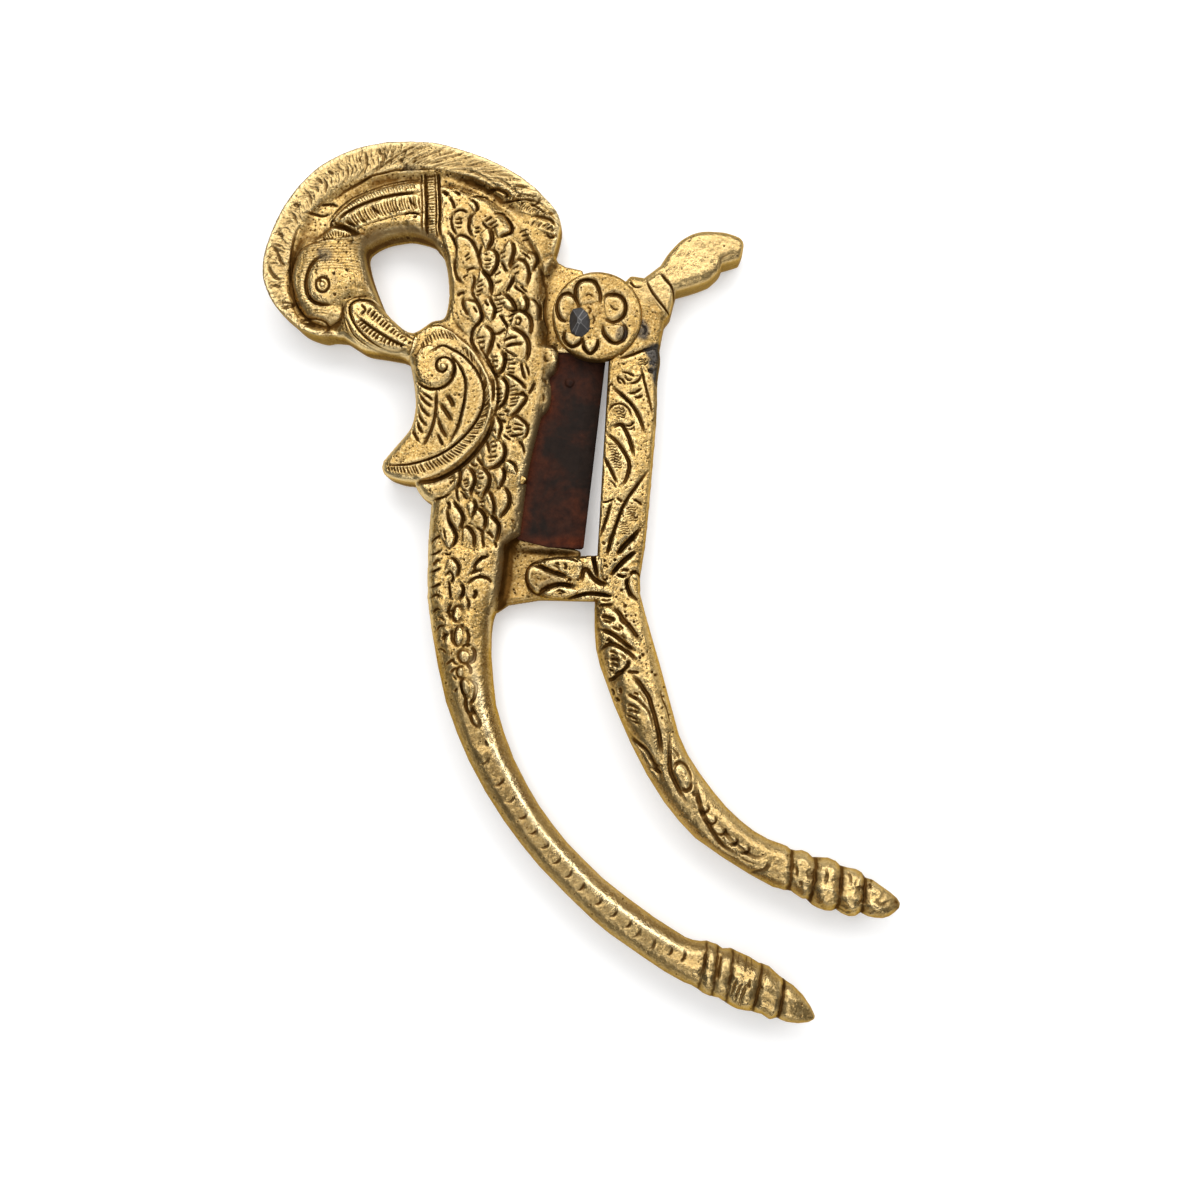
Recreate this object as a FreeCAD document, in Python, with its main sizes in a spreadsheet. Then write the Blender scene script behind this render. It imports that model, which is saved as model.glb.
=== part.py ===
import FreeCAD, Part
import math
import os
from FreeCAD import Placement, Rotation, Vector

# Brass betel nut cutter lying on its back.  Millimetres, +Z up, +Y towards
# the bird's crest, origin on the rest plane below the middle of the cutter.
doc = FreeCAD.newDocument("betel_nut_cutter")

# ----------------------------------------------------------------- sizes
sheet = doc.addObject("Spreadsheet::Sheet", "sizes")
SIZES = [
    ("centre_x", -0.235), ("centre_y", 0.585),
    ("pivot_x", 1.01), ("pivot_y", 49.68),
    ("bird_thick", 8.6), ("wing_rise", 0.6),
    ("ear_radius", 9.0), ("ear_bottom", 3.2), ("ear_top", 6.2),
    ("neck_bottom", 0.8),
    ("plate_bottom", 0.4), ("plate_top", 4.2), ("lip_top", 6.3),
    ("ledge_bottom", 1.8),
    ("blade_bottom", 3.9), ("blade_thick", 1.6), ("blade_play", 0.05),
    ("bevel_wide", 3.0), ("bevel_high", 1.2),
    ("anvil_bottom", 0.6), ("anvil_top", 8.2),
    ("disc_x", 4.51), ("disc_y", 51.23), ("disc_radius", 9.05),
    ("disc_bottom", 6.4), ("disc_top", 9.2),
    ("cheek_radius", 7.5), ("cheek_bottom", 1.5), ("cheek_top", 3.0),
    ("cheek_pocket", 7.9), ("slot_radius", 9.4),
    ("leaf_bottom", 4.6), ("leaf_top", 8.4),
    ("handle_mid", 5.0), ("handle_half", 4.55),
    ("pin_radius", 2.0), ("pin_play", 0.05), ("pin_fit", 0.01),
    ("head_long", 6.0), ("head_wide", 4.4), ("head_high", 1.6),
    ("head_bevel", 0.9),
    ("tail_radius", 3.0), ("tail_bottom", 0.1), ("tail_top", 0.8),
    ("washer_radius", 4.3), ("washer_bottom", 0.81), ("washer_top", 1.49),
    ("rivet_radius", 0.9), ("rivet_fit", 0.01), ("rivet_head", 0.45),
    ("rivet_x", -1.14), ("rivet_y", 38.40), ("pin2_x", -10.49), ("pin2_y", 18.21),
]
for row, (alias, value) in enumerate(SIZES, start=1):
    sheet.set("A%d" % row, alias)
    sheet.set("B%d" % row, "%g" % value)
    sheet.setAlias("B%d" % row, alias)
doc.recompute()
S = {alias: float(getattr(sheet, alias)) for alias, _ in SIZES}

# ------------------------------------------------- outlines (plan view, mm)
# crest, head, breast, wing tip and thigh of the bird, one closed outline
BODY_RUNS = [
    [(-38.32, 87.69), (-32.75, 87.67), (-27.18, 87.13), (-18.53, 84.28), (-11.95, 80.84), (-8.05, 77.86)],
    [(-8.05, 77.86), (-6.20, 75.95), (-4.77, 74.47), (-3.34, 72.37), (-2.92, 70.70), (-3.12, 69.03), (-3.73, 66.54), (-4.33, 64.47)],
    [(-4.33, 64.47), (-6.60, 61.16)],
    [(-6.60, 61.16), (-6.60, 46.08)],
    [(-6.60, 46.08), (-4.29, 45.45), (-3.27, 43.59), (-3.67, 40.92), (-5.28, 39.29)],
    [(-5.28, 39.29), (-4.87, 36.42), (-5.26, 33.15), (-6.87, 31.12)],
    [(-6.87, 31.12), (-8.46, 24.61), (-9.65, 18.53), (-11.00, 7.42)],
    [(-11.00, 7.42), (-14.00, 5.21)],
    [(-14.00, 5.21), (-14.19, 2.00), (-14.57, -1.62), (-15.34, -6.62)],
    [(-15.34, -6.62), (-16.32, -9.22), (-16.71, -12.21), (-16.69, -15.60)],
    [(-16.69, -15.60), (-27.68, -15.58)],
    [(-27.68, -15.58), (-28.52, -11.59), (-29.26, -6.79), (-29.41, -1.58), (-29.29, 6.48), (-28.75, 13.75)],
    [(-28.75, 13.75), (-30.38, 14.77), (-31.61, 16.40), (-32.23, 17.83)],
    [(-32.23, 17.83), (-34.86, 18.15), (-37.50, 19.07), (-38.63, 20.30), (-38.56, 22.34)],
    [(-38.56, 22.34), (-36.16, 25.18), (-33.75, 28.02), (-32.76, 29.86), (-32.18, 32.92), (-32.21, 35.59), (-32.65, 39.08), (-33.30, 41.97), (-34.12, 43.00), (-35.35, 43.63)],
    [(-35.35, 43.63), (-38.82, 44.28), (-42.50, 44.93), (-44.77, 46.18), (-47.04, 47.65)],
    [(-47.04, 47.65), (-49.50, 47.88), (-51.74, 47.69), (-55.25, 48.96), (-57.74, 51.05), (-60.04, 53.15), (-61.94, 56.08), (-63.25, 60.05), (-63.12, 64.23), (-61.96, 68.40), (-59.78, 73.41), (-56.97, 77.80), (-54.33, 80.72), (-51.68, 83.00), (-47.99, 85.07), (-43.68, 86.71), (-38.32, 87.69)],
]
# opening between the curled neck, the beak and the breast
HOLE_POINTS = [(-33.51, 69.02), (-36.41, 68.84), (-39.09, 68.23), (-41.55, 66.99), (-42.77, 65.32), (-42.10, 61.54), (-40.60, 57.33), (-38.91, 53.55), (-35.99, 50.40), (-32.89, 48.50), (-29.01, 50.76), (-26.75, 51.36), (-25.95, 53.02), (-25.56, 56.15), (-25.80, 59.91), (-26.23, 62.43), (-27.08, 64.96), (-28.33, 66.65), (-29.58, 67.92)]
WING_RUNS = [
    [(-37.39, 20.21), (-34.02, 23.82), (-32.05, 27.04), (-31.09, 31.29), (-30.95, 37.37), (-31.41, 42.47)],
    [(-31.41, 42.47), (-29.82, 44.70), (-27.01, 45.90), (-23.99, 45.47), (-20.55, 42.99), (-18.12, 39.72), (-17.29, 35.86), (-18.46, 31.21), (-21.63, 26.78), (-26.00, 22.97), (-30.78, 20.58), (-34.78, 19.40), (-37.39, 20.21)],
]
# recessed plate that reaches across to the anvil arm, and its upper lip
PLATE_POINTS = [(-18.5, 7.66), (-11.37, 7.64), (1.10, 4.40), (-0.45, -5.52), (-7.29, -5.50), (-13.52, -6.50), (-15.52, -7.90), (-18.5, -9.51)]
LIP_POINTS = [(-17.0, 8.40), (-11.18, 7.28), (0.84, 4.42), (-1.76, 4.22), (-5.96, 4.19), (-17.0, 5.18)]
LEDGE_POINTS = [(-9.5, 46.0), (2.2, 45.2), (2.4, 36.2), (-1.9, 33.9), (-4.6, 26.0), (-6.6, 18.0), (-8.2, 6.2), (-12.0, 6.2), (-12.0, 30.0)]
BLADE_POINTS = [(6.54, 45.0), (1.62, 4.62), (-5.4, 4.98), (-14.4, 7.3), (-14.1, 12.0), (-9.9, 34.0), (-7.9, 45.0)]
LEAF_RUNS = [
    [(5.90, 3.10), (1.07, 3.10), (-2.52, 3.05), (-4.31, 2.90), (-6.70, 2.48), (-8.49, 1.82), (-9.59, 0.78), (-9.98, -0.42), (-9.92, -1.92), (-9.37, -3.32), (-8.27, -4.42), (-6.88, -5.12), (-5.48, -5.72)],
    [(-5.48, -5.72), (5.90, -6.04)],
    [(5.90, -6.04), (5.90, 3.10)],
]
ANVIL_RUNS = [
    [(11.20, 59.85), (12.40, 59.72), (13.94, 59.42)],
    [(13.94, 59.42), (15.57, 60.65), (17.20, 61.88)],
    [(17.20, 61.88), (18.83, 64.36), (20.87, 66.63), (22.30, 67.66), (23.93, 68.47), (25.76, 68.87), (28.00, 68.85), (30.43, 68.61), (32.45, 67.97)],
    [(32.45, 67.97), (33.56, 67.33), (34.06, 66.29), (33.85, 64.63), (33.23, 63.18)],
    [(33.23, 63.18), (31.60, 62.67), (29.78, 62.17)],
    [(29.78, 62.17), (29.36, 61.14), (28.75, 60.32)],
    [(28.75, 60.32), (27.73, 59.39), (26.72, 58.68), (23.67, 57.57), (20.42, 56.67)],
    [(20.42, 56.67), (19.81, 54.39), (19.19, 51.92)],
    [(19.19, 51.92), (17.97, 50.28)],
    [(17.97, 50.28), (17.35, 47.19), (16.94, 44.72)],
    [(16.94, 44.72), (17.13, 42.66), (16.72, 39.99), (16.51, 36.92), (16.39, 31.60), (15.66, 22.63), (14.83, 13.30), (14.00, 5.43), (12.99, -1.00), (12.98, -4.41)],
    [(12.98, -4.41), (14.56, -10.61), (16.34, -16.59)],
    [(16.34, -16.59), (4.79, -16.58)],
    [(4.79, -16.58), (4.02, -12.79), (3.93, -9.19), (3.994, -6.10)],
    [(3.994, -6.10), (6.979, 45.50)],
    [(6.979, 45.50), (7.40, 55.80)],
    [(7.40, 55.80), (11.20, 59.85)],
]
# centre line of each handle: x, y, half width
LEFT_SPINE = [(-22.60, -7.20, 6.30), (-22.07, -16.76, 5.44), (-20.16, -27.58, 4.60), (-16.04, -37.93, 4.19), (-10.43, -47.81, 3.95), (-3.50, -56.55, 3.85), (4.80, -64.52, 3.90), (13.50, -71.07, 4.01), (21.60, -75.30, 4.10), (27.00, -77.60, 3.40)]
RIGHT_SPINE = [(9.00, -8.20, 5.10), (9.36, -11.28, 5.32), (11.13, -18.98, 5.66), (13.63, -26.45, 5.23), (16.43, -34.20, 4.70), (20.75, -41.95, 4.50), (25.96, -48.48, 4.30), (32.51, -53.87, 3.95), (39.00, -57.30, 4.00), (43.50, -59.10, 3.40)]
# finials: start point, end point, then (distance along, radius) of each bead
LEFT_FINIAL = ((24.6, -76.4), (46.98, -87.15), [
    [(0.0, 3.4), (1.8, 4.3), (3.6, 3.9)],
    [(3.6, 3.9), (5.0, 4.6), (6.8, 4.2)],
    [(6.8, 4.2), (9.6, 4.7), (13.4, 4.7), (15.4, 4.1)],
    [(15.4, 4.1), (17.4, 4.4), (19.4, 4.2), (20.6, 3.4)],
    [(20.6, 3.4), (22.6, 3.0), (24.2, 1.7)]])
RIGHT_FINIAL = ((41.4, -58.2), (63.57, -65.42), [
    [(0.0, 3.4), (1.6, 4.1), (3.0, 3.7)],
    [(3.0, 3.7), (5.0, 4.4), (7.2, 3.9)],
    [(7.2, 3.9), (9.6, 4.6), (12.2, 4.6), (13.8, 3.8)],
    [(13.8, 3.8), (15.8, 4.3), (17.8, 3.9), (18.8, 3.2)],
    [(18.8, 3.2), (20.6, 3.1), (22.6, 1.5)]])


# ----------------------------------------------------------------- helpers
def new_body(label):
    body = doc.addObject("PartDesign::Body", label)
    body.Label = label
    return body


def base_plane(body, role):
    for item in body.Origin.OriginFeatures:
        if item.Role == role:
            return item
    raise RuntimeError("no origin plane " + role)


def flat_sketch(body, name, level):
    """Sketch parallel to the rest plane at the height held in the cell `level`."""
    sketch = body.newObject("Sketcher::SketchObject", name)
    sketch.AttachmentSupport = (base_plane(body, "XY_Plane"), [""])
    sketch.MapMode = "FlatFace"
    sketch.AttachmentOffset = Placement(Vector(0, 0, 0), Rotation())
    if level is not None:
        sketch.setExpression("AttachmentOffset.Base.z", "sizes." + level if level in S else level)
    return sketch


def add_runs(sketch, runs):
    first = sketch.GeometryCount
    for run in runs:
        points = [Vector(x, y, 0) for x, y in run]
        if len(points) == 2:
            sketch.addGeometry(Part.LineSegment(points[0], points[1]), False)
        else:
            curve = Part.BSplineCurve()
            curve.interpolate(points)
            sketch.addGeometry(curve, False)
    return first


def add_polygon(sketch, points):
    n = len(points)
    ids = []
    for i in range(n):
        a = Vector(points[i][0], points[i][1], 0)
        b = Vector(points[(i + 1) % n][0], points[(i + 1) % n][1], 0)
        ids.append(sketch.addGeometry(Part.LineSegment(a, b), False))
    return ids


def add_loop(sketch, points):
    curve = Part.BSplineCurve()
    curve.interpolate([Vector(x, y, 0) for x, y in points], PeriodicFlag=True)
    return sketch.addGeometry(curve, False)


def add_circle(sketch, x, y, radius):
    """Circle whose centre and radius follow cells of the sheet."""
    import Sketcher
    c = sketch.addGeometry(Part.Circle(Vector(S[x], S[y], 0), Vector(0, 0, 1), 1.0), False)
    i = sketch.addConstraint(Sketcher.Constraint("DistanceX", -1, 1, c, 3, S[x]))
    sketch.setExpression("Constraints[%d]" % i, "sizes." + x)
    i = sketch.addConstraint(Sketcher.Constraint("DistanceY", -1, 1, c, 3, S[y]))
    sketch.setExpression("Constraints[%d]" % i, "sizes." + y)
    i = sketch.addConstraint(Sketcher.Constraint("Radius", c, 1.0))
    sketch.setExpression("Constraints[%d]" % i, radius)
    return c


def pad(body, sketch, name, length):
    feature = body.newObject("PartDesign::Pad", name)
    feature.Profile = sketch
    feature.setExpression("Length", length)
    sketch.Visibility = False
    return feature


def pocket(body, sketch, name, length):
    feature = body.newObject("PartDesign::Pocket", name)
    feature.Profile = sketch
    feature.setExpression("Length", length)
    sketch.Visibility = False
    return feature


def handle(body, name, spine):
    """Oval grip lofted through sections set square to its centre line."""
    sections = []
    n = len(spine)
    for i, (x, y, half) in enumerate(spine):
        a = spine[max(i - 1, 0)]
        b = spine[min(i + 1, n - 1)]
        t = Vector(b[0] - a[0], b[1] - a[1], 0).normalize()
        side = Vector(0, 0, 1).cross(t)
        frame = FreeCAD.Matrix(side.x, 0, t.x, 0, side.y, 0, t.y, 0, 0, 1, 0, 0, 0, 0, 0, 1)
        sketch = body.newObject("Sketcher::SketchObject", "%s_section_%d" % (name, i))
        sketch.AttachmentSupport = (base_plane(body, "XY_Plane"), [""])
        sketch.MapMode = "FlatFace"
        sketch.AttachmentOffset = Placement(Vector(x, y, S["handle_mid"]), Rotation(frame))
        sketch.setExpression("AttachmentOffset.Base.z", "sizes.handle_mid")
        high = min(S["handle_half"], 0.94 * half)
        sketch.addGeometry(Part.Ellipse(Vector(half, 0, 0), Vector(0, high, 0), Vector(0, 0, 0)), False)
        sketch.Visibility = False
        sections.append(sketch)
    doc.recompute()
    loft = body.newObject("PartDesign::AdditiveLoft", name)
    loft.Profile = sections[0]
    loft.Sections = sections[1:]
    return loft


def finial(body, name, data):
    """Row of turned beads with a domed tip, revolved about the handle's end."""
    (x0, y0), (x1, y1), beads = data
    angle = math.degrees(math.atan2(y1 - y0, x1 - x0))
    length = math.hypot(x1 - x0, y1 - y0)
    sketch = body.newObject("Sketcher::SketchObject", name + "_profile")
    sketch.AttachmentSupport = (base_plane(body, "XY_Plane"), [""])
    sketch.MapMode = "FlatFace"
    sketch.AttachmentOffset = Placement(Vector(x0, y0, S["handle_mid"]), Rotation(Vector(0, 0, 1), angle))
    sketch.setExpression("AttachmentOffset.Base.z", "sizes.handle_mid")
    last = beads[-1][-1]
    runs = list(beads)
    runs.append([last, (0.5 * (last[0] + length) + 0.35, last[1] * 0.62), (length - 0.05, 0.55)])
    runs.append([(length - 0.05, 0.55), (length, 0.0)])
    runs.append([(length, 0.0), (0.0, 0.0)])
    runs.append([(0.0, 0.0), beads[0][0]])
    add_runs(sketch, runs)
    doc.recompute()
    turn = body.newObject("PartDesign::Revolution", name)
    turn.Profile = sketch
    turn.ReferenceAxis = (sketch, ["H_Axis"])
    turn.Angle = 360.0
    sketch.Visibility = False
    return turn


def soften(body, name, radius, levels):
    """Round the top or bottom rim edges of a casting at the given heights."""
    doc.recompute()
    shape = body.Tip.Shape
    picked = []
    for k, edge in enumerate(shape.Edges, start=1):
        box = edge.BoundBox
        for level in levels:
            if abs(box.ZMin - level) < 1e-4 and abs(box.ZMax - level) < 1e-4 and edge.Length > 0.3:
                picked.append("Edge%d" % k)
    tip = body.Tip
    for size in (radius, radius * 0.6, radius * 0.35):
        f = body.newObject("PartDesign::Fillet", name)
        f.Base = (tip, picked)
        f.Radius = size
        doc.recompute()
        if f.Shape and not f.Shape.isNull() and f.Shape.isValid() and "Invalid" not in f.State and len(f.Shape.Solids) == 1:
            print(name, "radius", size)
            return f
        body.removeObject(f)
        doc.removeObject(f.Name)
        body.Tip = tip
        doc.recompute()
    print(name, "left sharp")
    return None


# ---------------------------------------------------------------- bird arm
bird = new_body("bird_arm")
sk = flat_sketch(bird, "bird_outline", None)
add_runs(sk, BODY_RUNS)
add_loop(sk, HOLE_POINTS)
pad(bird, sk, "bird_casting", "sizes.bird_thick")
soften(bird, "bird_rim", 1.1, [S["bird_thick"]])

sk = flat_sketch(bird, "wing_outline", "bird_thick")
sk.setExpression("AttachmentOffset.Base.z", "sizes.bird_thick - 1")
add_runs(sk, WING_RUNS)
pad(bird, sk, "wing", "sizes.wing_rise + 1")

# neck that carries the ear across to the hinge pin
sk = flat_sketch(bird, "neck_outline", "neck_bottom")
add_polygon(sk, [(-10.5, 64.3), (-4.32, 64.61), (-3.51, 63.14), (-1.88, 62.19), (1.58, 61.43), (1.58, 58.66), (-2.0, 56.0), (-10.5, 56.0)])
pad(bird, sk, "neck", "sizes.ear_top - sizes.neck_bottom")

sk = flat_sketch(bird, "ear_outline", "ear_bottom")
r = S["ear_radius"]
cx, cy = S["pivot_x"], S["pivot_y"]
lowest = 42.40
a0 = math.asin((lowest - cy) / r)
a1 = math.radians(86.0)
start = Vector(cx + r * math.cos(a0), lowest, 0)
end = Vector(cx + r * math.cos(a1), cy + r * math.sin(a1), 0)
sk.addGeometry(Part.ArcOfCircle(Part.Circle(Vector(cx, cy, 0), Vector(0, 0, 1), r), a0, a1), False)
ring = [end, Vector(-2.0, 59.5, 0), Vector(-10.0, 59.5, 0), Vector(-10.0, lowest, 0), start]
for p, q in zip(ring, ring[1:]):
    sk.addGeometry(Part.LineSegment(p, q), False)
pad(bird, sk, "ear", "sizes.ear_top - sizes.ear_bottom")

# ledge behind the blade and the plate below it
sk = flat_sketch(bird, "ledge_outline", "ledge_bottom")
add_polygon(sk, LEDGE_POINTS)
pad(bird, sk, "blade_ledge", "sizes.blade_bottom - sizes.blade_play - sizes.ledge_bottom")
sk = flat_sketch(bird, "plate_outline", "plate_bottom")
add_polygon(sk, PLATE_POINTS)
pad(bird, sk, "cross_plate", "sizes.plate_top - sizes.plate_bottom")
sk = flat_sketch(bird, "lip_outline", "plate_bottom")
add_polygon(sk, LIP_POINTS)
pad(bird, sk, "plate_lip", "sizes.lip_top - sizes.plate_bottom")

handle(bird, "left_grip", LEFT_SPINE)
finial(bird, "left_finial", LEFT_FINIAL)
doc.recompute()

# room for the rear cheek of the anvil arm, the blade slot and the holes
sk = flat_sketch(bird, "cheek_room", "ear_bottom")
add_circle(sk, "pivot_x", "pivot_y", "sizes.cheek_pocket")
pocket(bird, sk, "rear_pocket", "sizes.ear_bottom")
sk = flat_sketch(bird, "blade_room", None)
sk.setExpression("AttachmentOffset.Base.z", "sizes.blade_bottom + sizes.blade_thick + sizes.blade_play")
p = S["blade_play"]
add_polygon(sk, [(9.5, 45.0 + p), (9.5, 4.3), (1.62, 4.62 - p), (-5.4, 4.98 - p), (-14.4 - p, 7.3 - p), (-14.1 - p, 12.0), (-9.9 - p, 34.0), (-7.9 - p, 45.0 + p)])
pocket(bird, sk, "blade_slot", "sizes.blade_thick + 2 * sizes.blade_play")
sk = flat_sketch(bird, "pin_circle", "ear_top")
add_circle(sk, "pivot_x", "pivot_y", "sizes.pin_radius + sizes.pin_play")
pocket(bird, sk, "pin_hole", "sizes.ear_top")
sk = flat_sketch(bird, "rivet_circles", "bird_thick")
add_circle(sk, "rivet_x", "rivet_y", "sizes.rivet_radius + sizes.rivet_fit")
add_circle(sk, "pin2_x", "pin2_y", "sizes.rivet_radius + sizes.rivet_fit")
pocket(bird, sk, "rivet_holes", "sizes.bird_thick")

# ------------------------------------------------------------------- blade
blade = new_body("cutting_blade")
sk = flat_sketch(blade, "blade_outline", "blade_bottom")
add_polygon(sk, BLADE_POINTS)
pad(blade, sk, "blade_plate", "sizes.blade_thick")
doc.recompute()
edge_name = None
for k, edge in enumerate(blade.Tip.Shape.Edges, start=1):
    a, b = edge.Vertexes[0].Point, edge.Vertexes[-1].Point
    if min(a.z, b.z) > S["blade_bottom"] + S["blade_thick"] - 1e-4 and min(a.x, b.x) > 1.0:
        edge_name = "Edge%d" % k
plate = blade.Tip
bevel = blade.newObject("PartDesign::Chamfer", "cutting_bevel")
bevel.Base = (plate, [edge_name])
bevel.ChamferType = "Two distances"
bevel.Size = S["bevel_high"]
bevel.Size2 = S["bevel_wide"]
bevel.setExpression("Size", "sizes.bevel_high")
bevel.setExpression("Size2", "sizes.bevel_wide")
doc.recompute()
sk = flat_sketch(blade, "blade_rivet_circles", None)
sk.setExpression("AttachmentOffset.Base.z", "sizes.blade_bottom + sizes.blade_thick")
add_circle(sk, "rivet_x", "rivet_y", "sizes.rivet_radius + sizes.rivet_fit")
add_circle(sk, "pin2_x", "pin2_y", "sizes.rivet_radius + sizes.rivet_fit")
pocket(blade, sk, "blade_holes", "sizes.blade_thick")

# --------------------------------------------------------------- anvil arm
anvil = new_body("anvil_arm")
sk = flat_sketch(anvil, "anvil_outline", "anvil_bottom")
add_runs(sk, ANVIL_RUNS)
pad(anvil, sk, "anvil_casting", "sizes.anvil_top - sizes.anvil_bottom")
sk = flat_sketch(anvil, "leaf_outline", "leaf_bottom")
add_runs(sk, LEAF_RUNS)
pad(anvil, sk, "leaf_lug", "sizes.leaf_top - sizes.leaf_bottom")
sk = flat_sketch(anvil, "disc_outline", "disc_bottom")
add_circle(sk, "disc_x", "disc_y", "sizes.disc_radius")
pad(anvil, sk, "front_disc", "sizes.disc_top - sizes.disc_bottom")
soften(anvil, "disc_rim", 0.8, [S["disc_top"]])
sk = flat_sketch(anvil, "cheek_outline", "cheek_bottom")
add_circle(sk, "pivot_x", "pivot_y", "sizes.cheek_radius")
pad(anvil, sk, "rear_cheek", "sizes.cheek_top - sizes.cheek_bottom")
handle(anvil, "right_grip", RIGHT_SPINE)
finial(anvil, "right_finial", RIGHT_FINIAL)
doc.recompute()
# fork that straddles the ear, then the recess behind it and the pin hole
sk = flat_sketch(anvil, "fork_circle", "disc_bottom")
add_circle(sk, "pivot_x", "pivot_y", "sizes.slot_radius")
pocket(anvil, sk, "fork_slot", "sizes.disc_bottom - sizes.cheek_top")
sk = flat_sketch(anvil, "recess_circle", "cheek_bottom")
add_circle(sk, "pivot_x", "pivot_y", "sizes.cheek_pocket")
pocket(anvil, sk, "rear_recess", "sizes.cheek_bottom")
sk = flat_sketch(anvil, "anvil_pin_circle", "disc_top")
add_circle(sk, "pivot_x", "pivot_y", "sizes.pin_radius + sizes.pin_fit")
pocket(anvil, sk, "anvil_pin_hole", "sizes.disc_top")

# ------------------------------------------------------------- hinge rivet
pin = new_body("pivot_rivet")
sk = flat_sketch(pin, "shank_circle", "tail_top")
add_circle(sk, "pivot_x", "pivot_y", "sizes.pin_radius")
pad(pin, sk, "shank", "sizes.disc_top - sizes.tail_top")
sk = flat_sketch(pin, "tail_circle", "tail_bottom")
add_circle(sk, "pivot_x", "pivot_y", "sizes.tail_radius")
pad(pin, sk, "peened_tail", "sizes.tail_top - sizes.tail_bottom")
sk = flat_sketch(pin, "head_outline", "disc_top")
w, h = S["head_wide"] / 2, S["head_long"] / 2
facets = [(0.35, -1.0), (0.95, -0.45), (1.0, 0.25), (0.4, 0.95), (-0.3, 1.0), (-0.95, 0.5), (-1.0, -0.2), (-0.45, -0.9)]
add_polygon(sk, [(cx + w * u, cy + h * v) for u, v in facets])
pad(pin, sk, "hammered_head", "sizes.head_high")
doc.recompute()
top = S["disc_top"] + S["head_high"]
names = ["Edge%d" % k for k, e in enumerate(pin.Tip.Shape.Edges, start=1)
         if abs(e.BoundBox.ZMin - top) < 1e-4 and abs(e.BoundBox.ZMax - top) < 1e-4]
block = pin.Tip
cut = pin.newObject("PartDesign::Chamfer", "head_facets")
cut.Base = (block, names)
cut.setExpression("Size", "sizes.head_bevel")
doc.recompute()

# ------------------------------------------------------------------ washer
washer = new_body("rivet_washer")
sk = flat_sketch(washer, "washer_ring", "washer_bottom")
add_circle(sk, "pivot_x", "pivot_y", "sizes.washer_radius")
add_circle(sk, "pivot_x", "pivot_y", "sizes.pin_radius + sizes.pin_fit")
pad(washer, sk, "burr", "sizes.washer_top - sizes.washer_bottom")

# ------------------------------------------------------------ blade rivets
rivets = doc.addObject("Part::Feature", "blade_rivets")
rivets.Label = "blade_rivets"
rr = S["rivet_radius"]
face_z = S["blade_bottom"] + S["blade_thick"]
short = Part.makeCylinder(rr, face_z - S["ledge_bottom"], Vector(S["rivet_x"], S["rivet_y"], S["ledge_bottom"]))
ball_r = (rr * 1.35 ** 2 * rr + S["rivet_head"] ** 2) / (2 * S["rivet_head"])
dome = Part.makeSphere(ball_r, Vector(S["rivet_x"], S["rivet_y"], face_z + S["rivet_head"] - ball_r))
keep = Part.makeBox(4, 4, 2, Vector(S["rivet_x"] - 2, S["rivet_y"] - 2, face_z))
short = short.fuse(dome.common(keep)).removeSplitter()
long = Part.makeCylinder(rr, S["bird_thick"], Vector(S["pin2_x"], S["pin2_y"], 0.0))
rivets.Shape = Part.makeCompound([short, long])

# the origin sits under the middle of the whole cutter
shift = Vector(S["centre_x"], S["centre_y"], 0)
for obj in (bird, blade, anvil, pin, washer, rivets):
    obj.Placement = Placement(shift, Rotation())
    obj.setExpression("Placement.Base.x", "sizes.centre_x")
    obj.setExpression("Placement.Base.y", "sizes.centre_y")
doc.recompute()

# ------------------------------------------------------- check and write
for obj in doc.Objects:
    bad = [s for s in obj.State if s in ("Invalid", "Error")]
    if bad:
        raise RuntimeError("%s: %s" % (obj.Label, bad))
    if hasattr(obj, "Shape") and not obj.isDerivedFrom("App::OriginFeature"):
        if obj.Shape.isNull() or not obj.Shape.isValid():
            raise RuntimeError("bad shape: " + obj.Label)

os.makedirs("parts", exist_ok=True)
for obj in (bird, blade, anvil, pin, washer, rivets):
    shape = obj.Shape
    print(obj.Label, "solids", len(shape.Solids), "faces", len(shape.Faces), "volume %.1f" % shape.Volume,
          "box", [round(v, 2) for v in (shape.BoundBox.XMin, shape.BoundBox.YMin, shape.BoundBox.ZMin,
                                        shape.BoundBox.XMax, shape.BoundBox.YMax, shape.BoundBox.ZMax)])
    shape.exportStep("parts/%s.step" % obj.Label)
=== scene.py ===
import bpy
import math
import numpy as np
from mathutils import Matrix, Vector


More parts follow.
